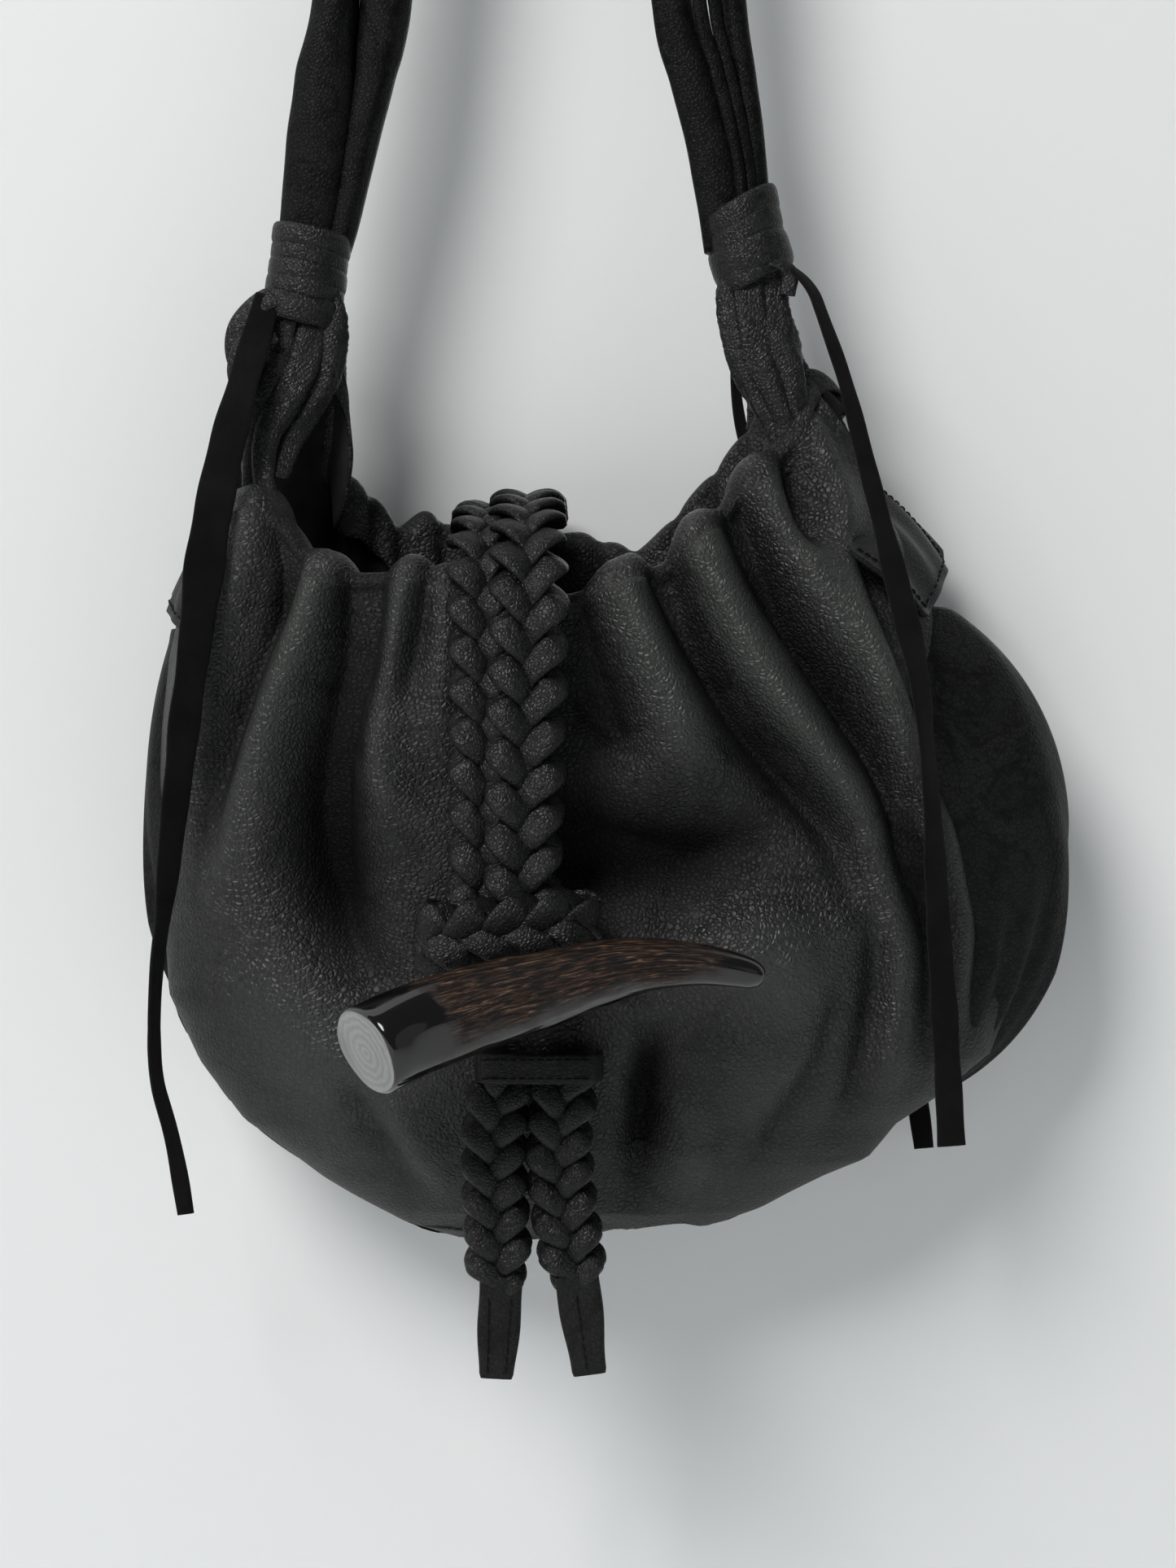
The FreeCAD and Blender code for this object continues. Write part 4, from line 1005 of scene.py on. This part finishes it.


# %% [markdown]
# ## Shoulder strap
# The strap is the bag's own draw strips, folded over and bunched. Each strand is a soft tube with grooves
# along it where the leather is folded.


def folded_strand(route, seed, grooves, samples=420, corners=28):
    """A soft folded strip: an oval tube with grooves that wander slowly round it and small cross wrinkles.

    Each place of the route gives x, y, z, half width and half thickness.
    """
    stations = smooth_line(route, samples)
    line, half_width, half_thick = stations[:, :3], stations[:, 3], stations[:, 4]
    places = ribs_along(line, (0, -1, 0), 1.0, 1.0, corners, 2.3)
    dice = random.Random(seed)
    turn = np.linspace(0, 2 * math.pi, corners + 1)[None]
    share = np.linspace(0, 1, samples)[:, None]
    relief = np.zeros((samples, corners + 1))
    for waves, depth in ((2, 0.7), (3, 1.0), (5, 0.6)):
        drift = dice.uniform(0, 6) + 2.2 * np.sin(share * dice.uniform(4, 11) + dice.uniform(0, 6))
        relief += depth * np.cos(waves * turn + drift)
    wrinkles = np.zeros((samples, corners + 1))
    for _ in range(7):
        pace = dice.uniform(60, 260)
        wrinkles += np.sin(share * pace + 2 * np.sin(turn + dice.uniform(0, 6)) + dice.uniform(0, 6))
    swell = 1 + grooves * relief + 0.010 * wrinkles
    tangent = unit(np.gradient(line, axis=0))
    across = unit(np.cross(tangent, [0, -1.0, 0]))
    offset = places - line[:, None]
    wide = np.sum(offset * across[:, None], axis=2, keepdims=True)
    deep = offset[..., 1:2]
    shaped = (across[:, None] * wide * half_width[:, None, None]
              + np.array([0, 1.0, 0]) * deep * half_thick[:, None, None]) * swell[..., None]
    bm = grid_mesh(line[:, None] + shaped)
    close_tube(bm)
    return bm


def add_strand(name, meshes, node=None):
    piece = make_piece(name, join_meshes(meshes), [STRAP_LEATHER], None, node)
    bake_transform(piece)


OUTER_STRAND = [
    (-76, 0, -352, 8.0, 5.4), (-74, 0, -334, 9.0, 6.0), (-71, 0, -312, 10.0, 6.4),
    (-68.3, 0, -286, 9.8, 6.4), (-65.3, 0, -260, 7.6, 6.2), (-52, 0, -165, 7.0, 6.0),
    (-43, 0, -80, 6.6, 5.6), (-39.5, 0, -20, 6.0, 5.6), (-33, 0, 8, 6.0, 5.6), (-15, 0, 17.5, 6.0, 5.6),
    (15, 0, 17.5, 6.0, 5.6), (33, 0, 8, 6.0, 5.6), (40, 0, -20, 5.8, 5.4), (46, 0, -90, 5.4, 5.2),
    (55, 0, -190, 4.6, 5.0), (61.4, 0, -260, 4.2, 4.6), (65.3, 0, -286, 3.8, 4.4),
    (69, 0, -312, 3.4, 4.2), (70, 0, -340, 3.4, 4.0),
]
INNER_STRAND = [
    (-69, 0, -352, 4.0, 5.0), (-63.5, 0, -334, 4.4, 5.2), (-58.8, 0, -312, 5.2, 5.6),
    (-53.5, 0, -286, 6.2, 5.8), (-49.6, 0, -260, 8.0, 6.0), (-38.5, 0, -165, 7.0, 5.6),
    (-31, 0, -80, 6.4, 5.4), (-27.5, 0, -25, 6.0, 5.4), (-22, 0, -3, 5.6, 5.4), (-10, 0, 5.6, 5.6, 5.2),
    (10, 0, 5.6, 5.6, 5.2), (22, 0, -3, 5.6, 5.4), (27.5, 0, -25, 6.0, 5.4), (31.5, 0, -90, 6.0, 5.4),
    (36, 0, -190, 6.2, 5.4), (41.6, 0, -260, 6.6, 5.6), (48.6, 0, -286, 7.4, 5.8),
    (56, 0, -312, 8.4, 5.8), (60, 0, -340, 8.0, 5.4),
]
NARROW_STRIPS = [
    [(20, -2, 9, 2.2, 1.5), (34, -5, -25, 2.2, 1.5), (38.5, -5.4, -90, 2.2, 1.5), (45, -5.4, -190, 2.3, 1.5),
     (50.3, -5, -260, 2.3, 1.5), (56.5, -5, -286, 2.2, 1.5), (62.5, -5, -312, 2.1, 1.5),
     (65, -4, -335, 2.0, 1.5)],
    [(22, -2, 10, 1.9, 1.4), (36.5, -3.4, -25, 1.9, 1.4), (41.5, -4.4, -90, 1.9, 1.4),
     (49, -4.4, -190, 2.0, 1.4), (55, -4.2, -260, 2.0, 1.4), (60.5, -4.2, -286, 1.9, 1.4),
     (66, -4.2, -312, 1.8, 1.4), (68, -3.4, -335, 1.8, 1.4)],
]
add_strand("strap_outer", [folded_strand(OUTER_STRAND, 3, 0.04)], "strap_strand_outer")
add_strand("strap_inner", [folded_strand(INNER_STRAND, 8, 0.04)], "strap_strand_inner")
narrow = [folded_strand(route, 21 + k, 0.12, 260, 12) for k, route in enumerate(NARROW_STRIPS)]
add_strand("strap_narrow_strips", narrow)

# %% [markdown]
# ## Wraps
# Where the strips leave the bag they are bound with lace, wound round and round. Each wrap is one flat
# strip swept along a helix, so its edges catch the light turn by turn. The helix is squashed a little
# from front to back, like the bundle it holds.

# %% Lace wound round the strips
WRAPS = {  # foot, top, half width across and front to back, turns, half width of the lace, slope, CAD node
    "left": ((-76.2, 0, -361.5), (-72.6, 0, -334.5), 11.6, 10.6, 5, 3.5, 0.0, "wrap_left"),
    "right": ((68.6, 0, -350), (63.6, 0, -325.5), 11.2, 10.6, 4, 4.3, 0.42, "wrap_right"),
}


def wound_lace(foot, top, half_x, half_y, turns, half_lace, slope, seed):
    foot, top = np.array(foot, float), np.array(top, float)
    axis = unit(top - foot)
    side = unit(np.cross([0, 1.0, 0], axis))
    samples = 64 * turns
    share = np.linspace(0, 1, samples)
    angle = share * turns * 2 * math.pi - math.pi / 2
    dice = random.Random(seed)
    out = side[None] * np.cos(angle)[:, None] * half_x
    out = out + np.array([[0, -1.0, 0]]) * np.sin(angle)[:, None] * half_y
    loose = 1 + 0.02 * np.sin(angle * 0.37 + dice.uniform(0, 6))
    loose = loose + 0.018 * np.sin(3 * angle + dice.uniform(0, 6))
    tilt = slope * half_x * np.cos(angle)
    along = np.linalg.norm(top - foot) * share + tilt
    line = foot + along[:, None] * axis + out * loose[:, None]
    outward = unit(out)
    tangent = unit(np.gradient(line, axis=0))
    across = unit(np.cross(outward, tangent))
    ring = np.linspace(0, 2 * math.pi, 15)
    wide = rounded(np.cos(ring), 0.55) * half_lace
    deep = rounded(np.sin(ring), 0.7) * 1.15 - 0.35 * np.cos(ring) ** 2
    places = line[:, None] + across[:, None] * wide[None, :, None] + outward[:, None] * deep[None, :, None]
    bm = grid_mesh(places)
    close_tube(bm)
    return bm


def core_plug(foot, top, half_x, half_y):
    """The bundle's filling, seen only in the gaps between two turns."""
    line = smooth_line([foot, [(a + b) / 2 for a, b in zip(foot, top)], top], 8)
    return strip_mesh(line, (0, -1, 0), half_y, half_x, 24, 2.0)


for which, (foot, top, half_x, half_y, turns, half_lace, slope, node) in WRAPS.items():
    parts = [wound_lace(foot, top, half_x, half_y, turns, half_lace, slope, turns)]
    parts.append(core_plug(foot, top, 9.6, 8.8))
    if which == "right":
        parts.append(wound_lace((68.2, 0, -345), (66.6, 0, -340), 12.2, 11.4, 1, 5.6, 0.12, 2))
    else:
        parts.append(wound_lace((-76.6, 0, -361), (-76.2, 0, -359), 12.4, 11.6, 1, 4.6, 0.0, 4))
    make_piece(f"wound_lace_{which}", join_meshes(parts), [STRIP_LEATHER], "bag", node)

# %% Draw strips between the wraps and the hems
FRONT_STRIPS = [
    [(-73, -5, -352), (-72.5, -7, -365), (-75, -8, -378), (-81, -10, -391), (-86, -13, -402),
     (-86, -18, -418), (-80, -21, -430)],
    [(-79, -4, -352), (-80, -6, -366), (-82, -8, -378), (-86, -9, -390), (-90, -11, -404), (-90, -14, -420)],
    [(-68, -4, -354), (-66.5, -6, -366), (-68, -6, -378), (-73, -6, -390), (-79, -9, -402),
     (-83, -15, -414)],
    [(66, -5, -343), (66.5, -8, -358), (69, -9, -373), (74, -9.5, -387), (78, -9, -398), (80, -9, -410)],
    [(71, -4, -343), (73.5, -7, -358), (76.5, -9, -372), (79.5, -9, -386), (80.5, -9, -397), (80, -8, -408)],
    [(62, -4, -343), (61.5, -6, -356), (64, -7.5, -372), (70, -8, -388), (76, -8, -400), (79, -9, -412)],
]
BACK_STRIPS = [
    [(-73, 5, -352), (-70, 6, -366), (-68, 7, -382), (-68, 9, -398), (-69, 13, -410), (-64, 19, -416)],
    [(-78, 5, -352), (-78, 6, -368), (-76, 7, -384), (-74, 9, -398), (-72, 13, -410)],
    [(66, 5, -343), (70, 6, -358), (76, 6, -370), (82, 5, -380), (85, 5, -392)],
    [(62, 6, -343), (64, 8, -358), (68, 9, -372), (72, 10, -384), (70, 13, -396)],
]
DRAW_STRIP_WIDTHS = (4.0, 5.2, 5.6, 5.0, 4.2, 3.4, 3.0)  # half widths from the wrap down
DRAW_STRIP_HALF_THICK = 2.5


def draw_strips(name, routes, node, first_seed):
    meshes = []
    for k, route in enumerate(routes):
        stations = [(*place, wide, DRAW_STRIP_HALF_THICK) for place, wide in zip(route, DRAW_STRIP_WIDTHS)]
        meshes.append(folded_strand(stations, first_seed + k, 0.09, 90, 20))
    make_piece(name, join_meshes(meshes), [STRIP_LEATHER], "bag", node)


draw_strips("front_gathering_strips", FRONT_STRIPS, "front_draw_strip", 30)
draw_strips("back_gathering_strips", BACK_STRIPS, "back_draw_strip", 40)

# %% [markdown]
# ## Lace ends
# The wraps' laces end in long tails that hang beside the bag. Each is a flat strip of suede, so it is
# modelled as a tape swept along a smooth curve. The curve is a NURBS line through the same points as the
# CAD route, and the tape's width and twist change along it.

# %% Laces
LACES = {
    "left": [
        (-86, -9, -356), (-90.5, -17, -376), (-95.5, -25, -398), (-100.5, -30, -424), (-103.5, -33, -447),
        (-106, -34, -470), (-108.6, -35, -489), (-110.6, -35, -508), (-113, -34, -527), (-115, -33, -546),
        (-118.2, -30, -566), (-119.4, -28, -586), (-119, -26, -603), (-115, -25, -616), (-112, -25, -630),
        (-109.8, -25, -644),
    ],
    "right": [
        (78.4, -8, -346.5), (85, -13.5, -352), (89, -20, -366), (95, -24, -384), (100.5, -28, -408),
        (106, -32, -431), (111.3, -35.5, -454), (116.6, -38.5, -477), (118.6, -39.5, -499),
        (120.4, -40, -520), (121.4, -40, -540), (122.7, -38.5, -560), (124.4, -36, -580),
        (125.9, -33, -600), (127.2, -31, -622),
    ],
    "rear": [
        (72, 13, -351), (65.5, 18, -359), (62.8, 20.5, -374), (64.5, 22.5, -392), (70, 25, -410),
        (79, 28, -430), (88, 32.5, -452), (96, 36.5, -474), (104, 37.5, -498), (110, 37.5, -522),
        (114.5, 37.5, -546), (118, 36.5, -570), (121, 33, -594), (124, 28, -616), (125.4, 25, -630),
    ],
}
LACE_SHAPES = {  # half widths and twists in degrees from wrap to end, declared width and length
    "left": ((3.8, 5.6, 6.0, 6.0, 5.4, 4.6, 4.2, 3.2, 2.4, 2.4, 2.9),
             (10, -12, -8, 6, 12, 18, 30, 55, 60, 20, -10), 9.5, 295),
    "right": ((1.9, 2.2, 2.6, 3.4, 4.0, 3.0, 3.4, 3.9, 4.3, 4.2),
              (30, 20, -15, -25, 10, 40, 25, 5, -5, 5), 7.0, 287),
    "rear": ((2.2, 2.4, 2.6, 3.0, 3.2, 3.4, 3.6), (60, 40, 0, -10, 10, 0, 10), 6.5, 293),
}


def curve_points(route, name):
    """Places read from a smooth NURBS line through a route, in millimetres."""
    data = bpy.data.curves.new(name, "CURVE")
    data.dimensions = "3D"
    data.resolution_u = 14
    spline = data.splines.new("NURBS")
    spline.points.add(len(route) - 1)
    for point, place in zip(spline.points, route):
        point.co = (*[v * MM for v in place], 1)
    spline.order_u = 3
    spline.use_endpoint_u = True
    holder = bpy.data.objects.new(name, data)
    mesh = bpy.data.meshes.new_from_object(holder)
    places = np.array([v.co for v in mesh.vertices]) / MM
    bpy.data.objects.remove(holder)
    bpy.data.meshes.remove(mesh)
    bpy.data.curves.remove(data)
    return places


LACE_HALF_THICK = 0.85


def lace_tape(line, half_widths, twists, seed):
    share = np.linspace(0, 1, len(line))
    width = np.interp(share, np.linspace(0, 1, len(half_widths)), half_widths)
    dice = random.Random(seed)
    for pace in (23, 41, 77):
        width = width * (1 + 0.035 * np.sin(share * pace + dice.uniform(0, 6)))
    angle = np.radians(np.interp(share, np.linspace(0, 1, len(twists)), twists))
    way = np.stack([np.cos(angle), np.sin(angle), 0 * angle], axis=1)
    return strip_mesh(line, way, width, LACE_HALF_THICK, 14, 4.0)


for which, route in LACES.items():
    half_widths, twists, wide, length = LACE_SHAPES[which]
    line = curve_points(route, f"route_{which}")
    dense = smooth_line(line[::6].tolist() + [line[-1].tolist()], 240)
    bm = lace_tape(dense, half_widths, twists, len(which))
    lace = make_piece(f"lace_end_{which}", bm, [LACE_SUEDE], "bag", f"lace_{which}")
    run = np.linalg.norm(np.diff(dense, axis=0), axis=1).sum()
    print(f"lace {which}: {run:.0f} mm")

# %% Knots where the laces leave the wraps
KNOTS = {
    "left": [[(-77, -8, -357), (-86, -9, -357), (-94, -9, -365), (-95, -8, -375), (-90, -7, -381),
              (-84, -7, -374), (-81, -8, -363)],
             [(-84, -11, -368), (-92, -13, -372), (-94, -11, -382), (-88, -8, -386), (-83, -8, -376)]],
    "right": [[(70, -9, -345), (75, -10, -345.5), (79, -10, -349), (78, -10, -356)]],
}
for which, loops in KNOTS.items():
    half = 4.6 if which == "left" else 2.6
    meshes = []
    for route in loops:
        meshes.append(strip_mesh(smooth_line(route, 80), (0, -0.8, 0.6), half * 0.35, half, 14, 2.6))
    make_piece(f"lace_knot_{which}", join_meshes(meshes), [STRIP_LEATHER], "bag")

# %% [markdown]
# ## Side pockets, flaps, lining
# A pocket is a smooth bulging patch on the bag's side, gathered at its foot. It is a piece of an egg
# shape, sampled by angle, with puckers added where it is gathered.

# %% Pockets
POCKETS = {  # middle, reach across, half depth, half height, sign of the side, top of the pocket
    "left": ((-75, 2, -515), 51.5, 24, 96, -1, -461),
    "right": ((104, 2, -531), 65.0, 31, 84, 1, -454),
}
POCKET_THICK, FLAP_THICK = 1.5, 1.8


def pocket_places(middle, reach, half_depth, half_height, side, top, seed, rows=90, columns=110):
    tallest = math.asin((top - middle[2]) / half_height)
    lift = np.linspace(-math.pi / 2, tallest, rows)[:, None]
    turn = np.linspace(-1.5, 1.5, columns)[None]
    dice = random.Random(seed)
    swell = np.ones((rows, columns))
    z = middle[2] + half_height * np.sin(lift) + 0 * turn
    for _ in range(9):
        pace, phase = dice.uniform(3, 10), dice.uniform(0, 6)
        swell += 0.006 * np.sin(pace * turn + 1.5 * np.sin(lift * dice.uniform(1, 3)) + phase)
    low = np.clip((middle[2] + 10 - z) / 50, 0, 1) ** 1.5
    for pace, depth in ((9, 0.035), (14, 0.03), (23, 0.018)):
        swell += depth * low * np.sin(pace * turn + 1.2 * lift + seed)
    edge = np.exp(-(((z - top) / 3.0) ** 2))
    swell += 0.018 * edge
    x = middle[0] + side * reach * np.cos(lift) * np.cos(turn) * swell
    y = middle[1] + half_depth * np.cos(lift) * np.sin(turn) * swell
    return np.stack([x, y, z], axis=-1)


for which, (middle, reach, half_depth, half_height, side, top) in POCKETS.items():
    bm = grid_mesh(pocket_places(middle, reach, half_depth, half_height, side, top, 3 + side))
    bmesh.ops.remove_doubles(bm, verts=bm.verts, dist=1e-6)
    face_outwards(bm, middle)
    pocket = make_piece(f"side_pocket_{which}", bm, [POCKET_LEATHER, FLESH_SIDE], "bag", f"pocket_{which}")
    add_thickness(pocket, POCKET_THICK, lined=True)

# %% Pocket flaps
FLAPS = {  # hinge, free edge, how far its front side hangs lower, CAD node
    "left": ((-104.5, 0, -418), (-122, 0, -452), (12, -14), "flap_left"),
    "right": ((109, 0, -412), (133, 0, -437), (-13, -25), "flap_right"),
}
FLAP_HALF_WIDTH = 26


def flap_places(hinge, edge, droop, rows=40, columns=44):
    hinge, edge = np.array(hinge, float), np.array(edge, float)
    out = np.linspace(0, 1, rows)[:, None, None]
    across = np.linspace(-1, 1, columns)[None, :, None]
    rounded = 1 - 0.10 * np.abs(across) ** 6 * out
    places = hinge + (edge - hinge) * out * rounded
    places = places + np.array([0, 1.0, 0]) * across * FLAP_HALF_WIDTH * (1 - 0.06 * out**4)
    down = unit(edge - hinge)
    way = np.array([-down[2], 0, down[0]]) * (1 if edge[0] > 0 else -1)
    bow = 2.6 * np.sin(out * 2.6) + 1.0 * np.sin(across * 5 + 1) * out + 0.7 * np.sin(across * 9 + out * 4)
    places = places + way * bow
    places = places + np.array([droop[0], 0, droop[1]]) * ((1 - across) / 2) ** 1.2
    return places, way


for which, (hinge, edge, droop, node) in FLAPS.items():
    places, way = flap_places(hinge, edge, droop)
    bm = grid_mesh(places)
    face_outwards(bm, (hinge[0] * 0.8, 0, hinge[2] - 30))
    flap = make_piece(f"pocket_flap_{which}", bm, [SMOOTH_LEATHER, FLESH_SIDE], f"flap_{which}", node)
    add_thickness(flap, FLAP_THICK, lined=True)
    rows = []
    for path in (places[-4, 3:-3:3], places[3:-3:3, 3], places[3:-3:3, -4]):
        for near, far in zip(path, path[1:]):
            rows += stitch_row(near + way * 0.15, far + way * 0.15, way, 1, 2.0)
    make_piece(f"flap_stitches_{which}", join_meshes(rows), [THREAD], f"flap_{which}")

# %% Lining
LINING_SIZES = dict(columns=90, rows=50, inside=12, shrink=3.4)
halves = []
for top, seam, side, folds, seed in ((FRONT_TOP, FRONT_SEAM, 1, FRONT_FOLDS, 5),
                                     (BACK_TOP, BACK_SEAM, 2, BACK_FOLDS, 9)):
    places = body_sheet(top, seam, side, folds, seed, **LINING_SIZES)[0][:, 16:]
    places[..., 1] *= 0.93
    bm = grid_mesh(places)
    face_outwards(bm, INSIDE_VIEW)
    halves.append(bm)
lining = make_piece("lining_pouch", join_meshes(halves), [LINING_CLOTH], "bag", "lining")
add_thickness(lining, LINING_THICK)

# %% Finishes for the CAD pieces that stay
CAD_FINISHES = {
    "closure_anchor_tab": SMOOTH_LEATHER, "tail_root_left": STRIP_LEATHER, "tail_root_right": STRIP_LEATHER,
    "toggle_lace": LACE_SUEDE, "toggle_washer": SMOOTH_LEATHER,
}
for node, finish in CAD_FINISHES.items():
    piece = bpy.data.objects[node]
    piece.data.materials.clear()
    piece.data.materials.append(finish)
tab_low, tab_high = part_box("closure_anchor_tab")
stitches = []
INSET = 3.0
left_x, right_x = tab_low[0] / MM + INSET, tab_high[0] / MM - INSET
low_z, high_z = tab_low[2] / MM + INSET, tab_high[2] / MM - 8
face_y = tab_high[1] / MM + 0.1
for z in (low_z, high_z):
    stitches += stitch_row((left_x, face_y, z), (right_x, face_y, z), (0, 1, 0), 9)
for x in (left_x, right_x):
    stitches += stitch_row((x, face_y, low_z), (x, face_y, high_z), (0, 1, 0), 6)
make_piece("tab_stitches", join_meshes(stitches), [THREAD], "bag")
